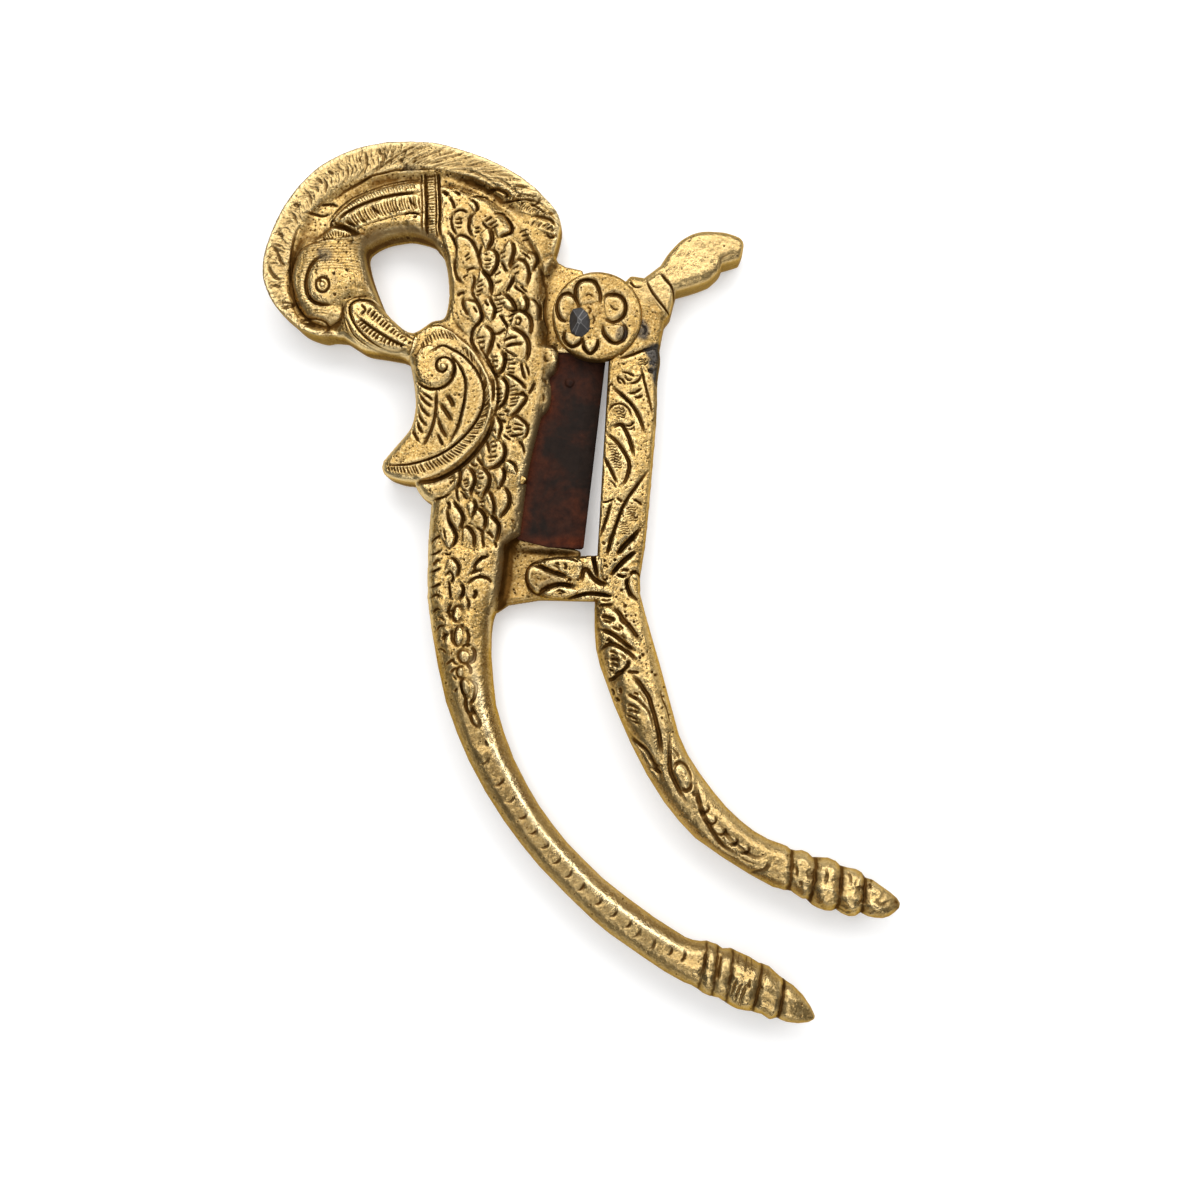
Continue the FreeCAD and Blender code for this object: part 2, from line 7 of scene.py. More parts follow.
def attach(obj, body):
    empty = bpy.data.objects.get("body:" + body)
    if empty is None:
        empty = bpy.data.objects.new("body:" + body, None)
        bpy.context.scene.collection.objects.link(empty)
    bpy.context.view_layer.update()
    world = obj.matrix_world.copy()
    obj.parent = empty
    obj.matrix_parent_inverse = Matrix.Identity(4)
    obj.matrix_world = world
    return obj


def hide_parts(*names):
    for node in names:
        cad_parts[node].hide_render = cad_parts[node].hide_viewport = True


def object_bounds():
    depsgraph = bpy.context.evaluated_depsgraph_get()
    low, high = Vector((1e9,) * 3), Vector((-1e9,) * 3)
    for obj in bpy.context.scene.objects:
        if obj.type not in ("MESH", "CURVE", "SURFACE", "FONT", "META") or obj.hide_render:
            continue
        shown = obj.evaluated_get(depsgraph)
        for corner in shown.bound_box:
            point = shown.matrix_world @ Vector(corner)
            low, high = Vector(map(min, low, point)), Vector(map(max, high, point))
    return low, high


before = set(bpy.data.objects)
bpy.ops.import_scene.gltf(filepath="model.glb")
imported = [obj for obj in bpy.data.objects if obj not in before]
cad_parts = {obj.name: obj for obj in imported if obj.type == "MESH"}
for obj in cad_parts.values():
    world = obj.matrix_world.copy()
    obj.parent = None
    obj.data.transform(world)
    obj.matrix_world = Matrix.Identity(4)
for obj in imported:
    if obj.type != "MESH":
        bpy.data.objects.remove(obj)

CAD_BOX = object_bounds()
STEP = 0.12          # spacing of the sculpted surface, mm
rng = np.random.default_rng(7)
GAIN = 1.35                              # depth of the cuts

# ------------------------------------------------------------------ plan map
# Shapes are listed as points on the plan drawing (1200 units square, +y down),
# seen from one high eye point; P lays such a point on the level z, in mm.
FOCAL = 4000.0 / 3.0
EYE = np.array([12.699, -24.935, 270.6])
_u = np.array([-40.0, 100.0, FOCAL]); _u /= np.linalg.norm(_u)
_x = np.array([1.0, 0, 0]) - _u * _u[0]; _x /= np.linalg.norm(_x)
_y = np.cross(_u, _x)


def P(pts, z):
    a = np.asarray(pts, float).reshape(-1, 2)
    d = np.stack([a[:, 0] - 600, -(a[:, 1] - 600), np.full(len(a), -FOCAL)], -1)
    t = (z - EYE[2]) / (d @ _u)
    return np.stack([t * (d @ _x) + EYE[0], t * (d @ _y) + EYE[1]], -1)


def smooth(pts, closed=False, n=8):
    """Catmull-Rom curve through the points, n pieces per span."""
    p = np.asarray(pts, float)
    if len(p) < 3:
        return p
    if closed:
        q = np.concatenate([p[-1:], p, p[:2]])
    else:
        q = np.concatenate([[2 * p[0] - p[1]], p, [2 * p[-1] - p[-2]]])
    out = []
    t = np.linspace(0, 1, n, endpoint=False)[:, None]
    for i in range(1, len(q) - 2):
        a, b, c, d = q[i - 1], q[i], q[i + 1], q[i + 2]
        out.append(0.5 * (2 * b + (c - a) * t + (2 * a - 5 * b + 4 * c - d) * t ** 2 + (3 * b - a - 3 * c + d) * t ** 3))
    out = np.concatenate(out)
    return out if closed else np.concatenate([out, p[-1:]])


def sstep(a, b, x):
    t = np.clip((x - a) / (b - a), 0, 1)
    return t * t * (3 - 2 * t)


class Field:
    """Height field of one casting: top and back levels over a plan grid, mm."""

    def __init__(self, box, h=None):
        self.h = h or STEP
        self.x0, self.y0 = box[0], box[1]
        self.nx = int((box[2] - box[0]) / self.h) + 2
        self.ny = int((box[3] - box[1]) / self.h) + 2
        self.x = (self.x0 + self.h * np.arange(self.nx)).astype(np.float32)
        self.y = (self.y0 + self.h * np.arange(self.ny)).astype(np.float32)
        s = (self.ny, self.nx)
        self.top = np.full(s, 8.6, np.float32)
        self.bot = np.zeros(s, np.float32)
        self.sd = np.full(s, -9.0, np.float32)      # inside distance to the rim
        self.er = np.full(s, 1.6, np.float32)       # rim rounding, across
        self.eh = np.full(s, 1.8, np.float32)       # rim rounding, down
        self.dirt = np.zeros(s, np.float32)
        self.zref = 8.4
        self.extra = {}

    # -- windows and distances
    def window(self, pts, r):
        lo, hi = pts.min(0) - r, pts.max(0) + r
        i0 = max(int((lo[0] - self.x0) / self.h), 0); i1 = min(int((hi[0] - self.x0) / self.h) + 2, self.nx)
        j0 = max(int((lo[1] - self.y0) / self.h), 0); j1 = min(int((hi[1] - self.y0) / self.h) + 2, self.ny)
        return slice(j0, max(j1, j0)), slice(i0, max(i1, i0))

    def dist(self, pts, r, win=None):
        """Distance to a polyline and position along it (0..1), in a window."""
        w = win or self.window(pts, r)
        X = self.x[w[1]][None, :]; Y = self.y[w[0]][:, None]
        D = np.full((Y.shape[0], X.shape[1]), r * r, np.float32)
        T = np.zeros_like(D)
        seg = np.hypot(*np.diff(pts, axis=0).T); cum = np.r_[0, np.cumsum(seg)]; tot = max(cum[-1], 1e-6)
        jo, io = w[0].start, w[1].start
        for k in range(len(pts) - 1):
            a, b = pts[k], pts[k + 1]
            sw = self.window(np.array([a, b]), r)
            js, je = max(sw[0].start - jo, 0), min(sw[0].stop - jo, D.shape[0])
            is_, ie = max(sw[1].start - io, 0), min(sw[1].stop - io, D.shape[1])
            if je <= js or ie <= is_:
                continue
            x = X[:, is_:ie] - a[0]; y = Y[js:je] - a[1]
            ux, uy = (b - a)
            L2 = ux * ux + uy * uy + 1e-12
            t = np.clip((x * ux + y * uy) / L2, 0, 1)
            d = (x - t * ux) ** 2 + (y - t * uy) ** 2
            m = d < D[js:je, is_:ie]
            D[js:je, is_:ie][m] = d[m]
            T[js:je, is_:ie][m] = ((cum[k] + t * seg[k]) / tot)[m]
        return w, np.sqrt(D), T

    def inside(self, pts, win):
        X = self.x[win[1]]; Y = self.y[win[0]]
        out = np.zeros((len(Y), len(X)), bool)
        q = np.concatenate([pts, pts[:1]])
        for a, b in zip(q[:-1], q[1:]):
            if a[1] == b[1]:
                continue
            rows = np.nonzero((Y > min(a[1], b[1])) & (Y <= max(a[1], b[1])))[0]
            if len(rows) == 0:
                continue
            xc = a[0] + (Y[rows] - a[1]) * (b[0] - a[0]) / (b[1] - a[1])
            out[rows] ^= X[None, :] < xc[:, None]
        return out

    def signed(self, loop, r):
        """Signed distance to a closed loop, positive inside, within a window."""
        q = np.concatenate([loop, loop[:1]])
        w, D, _ = self.dist(q, r)
        s = self.inside(loop, w)
        return w, np.where(s, D, -D)

    # -- rim
    def add_outline(self, loop, r=7.0):
        w, d = self.signed(loop, r)
        self.sd[w] = np.maximum(self.sd[w], d)

    def cut_outline(self, loop, r=7.0):
        w, d = self.signed(loop, r)
        self.sd[w] = np.minimum(self.sd[w], -d)

    # -- relief, points on the plan drawing
    def pts(self, p, closed=False, n=6, z=None):
        return P(smooth(p, closed, n), self.zref if z is None else z)

    def area(self, p, z=None, dz=None, soft=0.5, n=6, curved=True):
        """Sets or shifts the level inside a closed shape, with a soft edge."""
        q = self.pts(p, True, n) if curved else P(p, self.zref)
        w, d = self.signed(q, max(soft * 2, 1.0))
        m = sstep(-soft, soft, d)
        if z is not None:
            self.top[w] += (z - self.top[w]) * m
        else:
            self.top[w] += dz * m
        return w, m

    def dome(self, p, dz, r, base=None, soft=0.12, n=6, power=2.0):
        """Raises a puffy shape with a rounded rim of width r."""
        q = self.pts(p, True, n)
        w, d = self.signed(q, r + 0.5)
        k = np.clip(d / r, 0, 1)
        f = np.sqrt(np.clip(1 - (1 - k) ** power, 0, 1))
        if base is not None:
            m = sstep(-soft, soft, d)
            self.top[w] += (base + dz * f - self.top[w]) * m
        else:
            self.top[w] += dz * f * (d > 0)

    def leaf(self, p, lift, r, frm, to, base=0.25, n=3):
        """Raised pad that climbs from one place towards another, with a round rim."""
        q = self.pts(p, True, n)
        c, e = P([frm, to], self.zref)
        u = e - c
        L = max(np.hypot(*u), 1e-6)
        w, d = self.signed(q, r + 0.5)
        k = np.clip(d / r, 0, 1)
        s = ((self.x[w[1]][None, :] - c[0]) * u[0] + (self.y[w[0]][:, None] - c[1]) * u[1]) / (L * L)
        self.top[w] += lift * np.sqrt(np.clip(1 - (1 - k) ** 2, 0, 1)) * (base + (1 - base) * np.clip(s, 0, 1)) * (d > 0)

    def stroke(self, p, w=3.0, h=-0.35, taper=0.25, n=6, flat=0.0, raw=False, dirt=0.7, cushion=0.26):
        """Groove (h < 0) or bead (h > 0); w is its full width in drawing units."""
        q = P(p, self.zref) if raw else self.pts(p, False, n)
        h = h * GAIN
        r = 0.5 * w * 0.197
        win, D, T = self.dist(q, r * 2.6)
        k = np.clip(D / r, 0, 2.6)
        prof = np.clip(1 - k ** 2, 0, 1) ** (1.0 if h > 0 else 1.3)
        if flat:
            prof = np.clip(prof / (1 - flat), 0, 1)
        if taper > 0:
            e = np.clip(np.minimum(T, 1 - T) / taper, 0.05, 1) ** 0.6
            prof = prof * e
        # a chisel throws up a small burr at each side of its cut
        if h < 0:
            soft = np.clip(1 - (k / 2.5) ** 2, 0, 1) ** 2 * np.clip(np.minimum(T, 1 - T) / 0.2, 0.25, 1)
            self.top[win] += h * (0.80 * prof + cushion * soft)
        else:
            self.top[win] += h * prof
        if h < 0:
            # the cut turns dark: dirt held in it and painted shade
            self.dirt[win] = np.maximum(self.dirt[win], prof * dirt)

    def stain_and_shade(self, p, amount, soft=1.2, n=6):
        """Brown film inside a closed shape; some calls lay a stain, others painted shade."""
        q = self.pts(p, True, n)
        w, d = self.signed(q, soft * 2)
        self.dirt[w] = np.maximum(self.dirt[w], amount * sstep(-soft, soft, d))

    def patina(self, p, amount, soft=0.8, n=6):
        """Grey, almost black tarnish inside a closed shape."""
        q = self.pts(p, True, n)
        w, d = self.signed(q, soft * 2)
        e = self.extra.setdefault("grey", np.zeros_like(self.top))
        e[w] = np.maximum(e[w], amount * sstep(-soft, soft, d))

    def strokes(self, many, w=3.0, h=-0.35, **k):
        for p in many:
            self.stroke(p, w, h, **k)

    def ring(self, c, r, w=3.0, h=-0.35, ry=None, rot=0.0, **k):
        t = np.linspace(0, 2 * np.pi, 33)
        ry = ry or r
        ca, sa = math.cos(rot), math.sin(rot)
        x, y = r * np.cos(t), ry * np.sin(t)
        self.stroke(np.stack([c[0] + ca * x - sa * y, c[1] + sa * x + ca * y], -1), w, h, taper=0, raw=True, **k)

    def ticks(self, line, count, length, w=2.0, h=-0.22, slant=90.0, bow=0.0, jitter=0.12, side=0.0, **k):
        """Row of short cuts across a guide line; length in drawing units."""
        q = smooth(line, False, 10)
        d = np.r_[0, np.cumsum(np.hypot(*np.diff(q, axis=0).T))]
        for i in range(count):
            s = (i + 0.5 + jitter * rng.uniform(-1, 1)) / count * d[-1]
            x, y = np.interp(s, d, q[:, 0]), np.interp(s, d, q[:, 1])
            x2, y2 = np.interp(s + 1, d, q[:, 0]), np.interp(s + 1, d, q[:, 1])
            x1, y1 = np.interp(s - 1, d, q[:, 0]), np.interp(s - 1, d, q[:, 1])
            a = math.atan2(y2 - y1, x2 - x1) + math.radians(slant + 8 * rng.uniform(-1, 1))
            L = length * (1 + 0.15 * rng.uniform(-1, 1)) / 2
            ca, sa = math.cos(a), math.sin(a)
            c = np.array([x - sa * side, y + ca * side])
            p = [c + L * np.array([-ca, -sa]), c + bow * np.array([-sa, ca]), c + L * np.array([ca, sa])]
            self.stroke(p, w * (1 + 0.15 * rng.uniform(-1, 1)), h * (1 + 0.2 * rng.uniform(-1, 1)), taper=0.3, n=3, **k)

    def pit(self, x, y, r, h):
        """Small round pit at a place in mm."""
        w = self.window(np.array([[x, y]]), r * 1.2)
        X = self.x[w[1]][None, :] - x; Y = self.y[w[0]][:, None] - y
        k = np.clip(1 - (X * X + Y * Y) / (r * r), 0, 1)
        self.top[w] -= h * k
        # the pit turns dark: dirt and painted shade
        self.dirt[w] = np.maximum(self.dirt[w], 0.8 * k)

    def sample(self, arr, x, y):
        u = np.clip((x - self.x0) / self.h, 0, self.nx - 1.001); v = np.clip((y - self.y0) / self.h, 0, self.ny - 1.001)
        i = u.astype(int); j = v.astype(int); fu = u - i; fv = v - j
        return ((arr[j, i] * (1 - fu) + arr[j, i + 1] * fu) * (1 - fv) + (arr[j + 1, i] * (1 - fu) + arr[j + 1, i + 1] * fu) * fv)

    def blur(self, a, mm):
        n = max(int(2.2 * mm / self.h), 1)
        k = np.exp(-0.5 * (np.arange(-n, n + 1) * self.h / mm) ** 2); k /= k.sum()
        for ax in (0, 1):
            p = np.pad(a, [(n, n) if ax == i else (0, 0) for i in (0, 1)], mode="edge")
            out = np.zeros_like(a)
            for i, c in enumerate(k):
                s = [slice(None), slice(None)]
                s[ax] = slice(i, i + a.shape[ax])
                out += c * p[tuple(s)]
            a = out
        return a

    # -- closed mesh
    def mesh(self, name, material, body, nodes, d0=0.42, back_er=1.2, back_eh=1.2, wall=4):
        h = self.h
        sd, gy, gx = self.sd, *np.gradient(self.blur(self.sd, h * 0.8), h)
        n_ = np.hypot(gx, gy) + 1e-6
        gx, gy = gx / n_, gy / n_
        ok = sd >= d0
        cell = ok[:-1, :-1] & ok[1:, :-1] & ok[:-1, 1:] & ok[1:, 1:]
        for _ in range(6):
            pad = np.pad(cell, 1)
            a, b, c, d = pad[:-1, :-1], pad[:-1, 1:], pad[1:, :-1], pad[1:, 1:]
            pinch = (a & d & ~b & ~c) | (b & c & ~a & ~d)
            if not pinch.any():
                break
            js, is_ = np.nonzero(pinch)
            for j, i in zip(js, is_):
                for q, r in ((j - 1, i - 1), (j - 1, i), (j, i - 1), (j, i)):
                    if 0 <= q < cell.shape[0] and 0 <= r < cell.shape[1] and cell[q, r]:
                        cell[q, r] = False
                        break
        # vertices the kept cells use, and how many cells meet at each
        used = np.zeros(sd.shape, bool)
        used[:-1, :-1] |= cell; used[1:, :-1] |= cell; used[:-1, 1:] |= cell; used[1:, 1:] |= cell
        full = np.zeros(sd.shape, np.int8)
        full[:-1, :-1] += cell; full[1:, :-1] += cell; full[:-1, 1:] += cell; full[1:, 1:] += cell
        idx = np.full(sd.shape, -1, np.int64)
        J, I = np.nonzero(used)
        idx[J, I] = np.arange(len(J))
        X = self.x[I].astype(float); Y = self.y[J].astype(float)
        rim = full[J, I] < 4
        for _ in range(2):
            dd = self.sample(sd, X[rim], Y[rim]) - d0
            X[rim] -= self.sample(gx, X[rim], Y[rim]) * dd
            Y[rim] -= self.sample(gy, X[rim], Y[rim]) * dd

        def tops(x, y, d):
            er = self.sample(self.er, x, y); eh = self.sample(self.eh, x, y)
            k = 1 - np.clip(d / er, 0, 1)
            return self.sample(self.top, x, y) - eh * (1 - np.sqrt(np.clip(1 - k * k, 0, 1)))

        def backs(x, y, d):
            ber = self.sample(self.ber, x, y) if hasattr(self, "ber") else back_er
            beh = self.sample(self.beh, x, y) if hasattr(self, "beh") else back_eh
            k = 1 - np.clip(d / ber, 0, 1)
            return self.sample(self.bot, x, y) + beh * (1 - np.sqrt(np.clip(1 - k * k, 0, 1)))

        D = self.sample(sd, X, Y)
        zt = tops(X, Y, D); zb = backs(X, Y, D)
        zb = np.minimum(zb, zt - 0.15)
        nv = len(X)
        B = np.nonzero(rim)[0]
        bx, by = X[B], Y[B]
        ggx, ggy = self.sample(gx, bx, by), self.sample(gy, bx, by)
        gl = np.hypot(ggx, ggy) + 1e-9; ggx /= gl; ggy /= gl
        ds = np.array([0.30, 0.19, 0.10, 0.04, 0.0]) * (d0 / 0.42)
        verts = [np.stack([X, Y, zt], -1), np.stack([X, Y, zb], -1)]
        uvs = [np.stack([X, Y], -1), np.stack([X, Y], -1)]
        cavs = []
        rows_f, rows_b = [], []
        at = 2 * nv
        skirt = np.zeros(len(B))
        px, py, pz = bx, by, zt[B]
        for d in ds:
            x, y = bx - ggx * (d0 - d), by - ggy * (d0 - d)
            z = tops(x, y, np.full(len(B), d))
            skirt = skirt + np.sqrt((x - px) ** 2 + (y - py) ** 2 + (z - pz) ** 2); px, py, pz = x, y, z
            verts.append(np.stack([x, y, z], -1)); uvs.append(np.stack([bx - ggx * skirt, by - ggy * skirt], -1))
            rows_f.append(at + np.arange(len(B))); at += len(B)
        ex, ey, ez = px, py, pz
        sk_f = skirt.copy()
        skirt = np.zeros(len(B))
        px, py, pz = bx, by, zb[B]
        for d in ds:
            x, y = bx - ggx * (d0 - d), by - ggy * (d0 - d)
            z = np.minimum(backs(x, y, np.full(len(B), d)), ez - 0.12)
            skirt = skirt + np.sqrt((x - px) ** 2 + (y - py) ** 2 + (z - pz) ** 2); px, py, pz = x, y, z
            verts.append(np.stack([x, y, z], -1)); uvs.append(np.stack([bx - ggx * skirt, by - ggy * skirt], -1))
            rows_b.append(at + np.arange(len(B))); at += len(B)
        # wall between the two rims, split at its middle for the map
        zlo = pz
        walls = []
        wob = 0.05 * np.sin(ex * 2.1 + ey * 1.3) + 0.04 * np.sin(ex * 0.7 - ey * 3.1)
        for i in range(1, wall):
            f = i / wall
            z = ez + (zlo - ez) * f
            k = wob * math.sin(math.pi * f) * np.clip((ez - zlo) / 3.0, 0, 1)
            verts.append(np.stack([ex + ggx * k, ey + ggy * k, z], -1))
            s = sk_f + (ez - z) if f <= 0.5 else skirt + (z - zlo)
            uvs.append(np.stack([bx - ggx * s, by - ggy * s], -1))
            walls.append(at + np.arange(len(B))); at += len(B)
        V = np.concatenate(verts); UV = np.concatenate(uvs)
        # faces
        cj, ci = np.nonzero(cell)
        q = np.stack([idx[cj, ci], idx[cj, ci + 1], idx[cj + 1, ci + 1], idx[cj + 1, ci]], -1)
        faces = [q, q[:, ::-1] + nv]
        pos = np.full(nv, -1); pos[B] = np.arange(len(B))
        # boundary edges, oriented so that the cell lies on the left
        padc = np.pad(cell, 1)
        E = []
        jj, ii = np.nonzero(cell & ~padc[:-2, 1:-1]); E.append((idx[jj, ii], idx[jj, ii + 1]))
        jj, ii = np.nonzero(cell & ~padc[2:, 1:-1]); E.append((idx[jj + 1, ii + 1], idx[jj + 1, ii]))
        jj, ii = np.nonzero(cell & ~padc[1:-1, :-2]); E.append((idx[jj + 1, ii], idx[jj, ii]))
        jj, ii = np.nonzero(cell & ~padc[1:-1, 2:]); E.append((idx[jj, ii + 1], idx[jj + 1, ii + 1]))
        ea = np.concatenate([e[0] for e in E]); eb = np.concatenate([e[1] for e in E])
        pa, pb = pos[ea], pos[eb]
        chain = [B] + rows_f + walls + rows_b[::-1] + [B + nv]
        halves = []
        nf = len(rows_f)
        for k in range(len(chain) - 1):
            r0, r1 = chain[k], chain[k + 1]
            faces.append(np.stack([r0[pb], r0[pa], r1[pa], r1[pb]], -1))
            halves.append(k < nf + (wall // 2))
        Fq = np.concatenate(faces)
        front = np.concatenate([np.ones(len(q), bool), np.zeros(len(q), bool)] + [np.full(len(pa), hv) for hv in halves])
        me = bpy.data.meshes.new(name)
        for i in (0, 1):
            V[:, i] = np.clip(V[:, i], 1000 * CAD_BOX[0][i], 1000 * CAD_BOX[1][i])
        me.vertices.add(len(V)); me.vertices.foreach_set("co", (V * 0.001).astype(np.float32).ravel())
        me.loops.add(len(Fq) * 4); me.loops.foreach_set("vertex_index", Fq.astype(np.int32).ravel())
        me.polygons.add(len(Fq))
        me.polygons.foreach_set("loop_start", np.arange(0, len(Fq) * 4, 4, dtype=np.int32))
        me.polygons.foreach_set("use_smooth", np.ones(len(Fq), bool))
        uvl = me.uv_layers.new(name="OFBake")
        U = UV[Fq.ravel()]
        W = self.x[-1] - self.x[0] + 16; H = self.y[-1] - self.y[0] + 16
        u = (U[:, 0] - self.x0 + 8) / W; v = (U[:, 1] - self.y0 + 8) / H
        fr = np.repeat(front, 4)
        if H > W:
            u = np.where(fr, 0.5 * u, 1.0 - 0.5 * u)
        else:
            v = np.where(fr, 0.5 * v, 1.0 - 0.5 * v)
        uvl.data.foreach_set("uv", np.stack([u, v], -1).astype(np.float32).ravel())
        # cavity, dirt and painted shade for the shader
        cav = np.clip((self.blur(self.top, 0.55) - self.top) * 2.2, -1, 1)
        cav2 = np.clip((self.blur(self.top, 1.8) - self.top) * 0.7, -1, 1)
        c = self.sample(cav, V[:, 0], V[:, 1]); c2 = self.sample(cav2, V[:, 0], V[:, 1]); dt = self.sample(self.dirt, V[:, 0], V[:, 1])
        isb = np.zeros(len(V), bool); isb[nv:2 * nv] = True
        for r in rows_b:
            isb[r] = True
        for r in walls:
            isb[r] = True
        c[isb] = 0.05; c2[isb] = 0.1; dt[isb] = 0.12
        for r, k in zip(rows_f, (0.95, 0.75, 0.5, 0.3, 0.2)):
            c[r] = 0.02 + (c[r] - 0.02) * k
        # painted shade on the side walls, laid into the dirt-and-shade map
        wall_shade = self.side(V[:, 0], V[:, 1]) if hasattr(self, "side") else 0.75 + 0 * V[:, 0]
        for r in walls:
            dt[r] = wall_shade[r]
        dt[rows_f[-1]] = 0.5 * dt[rows_f[-1]] + 0.35 * wall_shade[rows_f[-1]]
        more = []
        for nm, arr in self.extra.items():
            v = self.sample(arr, V[:, 0], V[:, 1])
            if nm == "grey":
                v[isb] *= 0.45
            more.append((nm, v))
        wallish = np.zeros(len(V))
        for r, k in list(zip(rows_f, (0.0, 0.1, 0.3, 0.6, 0.9))) + [(r, 1.0) for r in walls]:
            wallish[r] = k * sstep(0.9, 1.3, wall_shade[r])
        more.append(("side", wallish))
        for nm, arr in [("cav", c), ("cavw", c2), ("dirt", dt)] + more:
            at_ = me.attributes.new(nm, "FLOAT", "POINT")
            at_.data.foreach_set("value", arr.astype(np.float32))
        me.update(calc_edges=True)
        me.validate()
        ob = bpy.data.objects.new(name, me)
        bpy.context.collection.objects.link(ob)
        ob.data.materials.append(material)
        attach(ob, body)
        if nodes:
            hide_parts(*nodes)
        print(name, "faces", len(Fq), "verts", len(V))
        return ob


# ----------------------------------------------------------------- materials
def mat(name):
    m = bpy.data.materials.new(name)
    m.use_nodes = True
    nt = m.node_tree
    nt.nodes.clear()
    out = nt.nodes.new("ShaderNodeOutputMaterial")
    bs = nt.nodes.new("ShaderNodeBsdfPrincipled")
    nt.links.new(bs.outputs["BSDF"], out.inputs["Surface"])
    return m, nt, bs


class N:
    """Small helper for node graphs."""

    def __init__(self, nt):
        self.nt = nt

    def put(self, sock, v):
        if hasattr(v, "is_output"):
            self.nt.links.new(v, sock)
        else:
            sock.default_value = v

    def math(self, op, a, b=0.0, clamp=False):
        n = self.nt.nodes.new("ShaderNodeMath"); n.operation = op; n.use_clamp = clamp
        self.put(n.inputs[0], a); self.put(n.inputs[1], b)
        return n.outputs[0]

    def noise(self, scale, detail=4.0, rough=0.6, co=None, dist=0.0):
        n = self.nt.nodes.new("ShaderNodeTexNoise")
        n.inputs["Scale"].default_value = scale; n.inputs["Detail"].default_value = detail
        n.inputs["Roughness"].default_value = rough; n.inputs["Distortion"].default_value = dist
        if co is not None:
            self.nt.links.new(co, n.inputs["Vector"])
        return n.outputs["Fac"]

    def coord(self, scale=(1, 1, 1)):
        n = self.nt.nodes.new("ShaderNodeTexCoord")
        m = self.nt.nodes.new("ShaderNodeMapping")
        m.inputs["Scale"].default_value = scale
        self.nt.links.new(n.outputs["Object"], m.inputs["Vector"])
        return m.outputs["Vector"]

    def attr(self, name):
        n = self.nt.nodes.new("ShaderNodeAttribute"); n.attribute_name = name
        return n.outputs["Fac"]

    def ramp(self, fac, stops):
        n = self.nt.nodes.new("ShaderNodeValToRGB")
        el = n.color_ramp.elements
        el[0].position, el[0].color = stops[0][0], (*stops[0][1], 1)
        el[1].position, el[1].color = stops[-1][0], (*stops[-1][1], 1)
        for p, c in stops[1:-1]:
            e = el.new(p); e.color = (*c, 1)
        self.nt.links.new(fac, n.inputs["Fac"])
        return n.outputs["Color"]

    def mix(self, fac, a, b):
        n = self.nt.nodes.new("ShaderNodeMix"); n.data_type = "RGBA"
        self.put(n.inputs[0], fac)
        for s, v in ((n.inputs[6], a), (n.inputs[7], b)):
            if isinstance(v, tuple):
                s.default_value = (*v, 1)
            else:
                self.nt.links.new(v, s)
        return n.outputs[2]

    def span(self, v, a, b, c, d):
        n = self.nt.nodes.new("ShaderNodeMapRange"); n.clamp = True
        self.put(n.inputs[0], v)
        for i, q in enumerate((a, b, c, d)):
            n.inputs[i + 1].default_value = q
        return n.outputs[0]


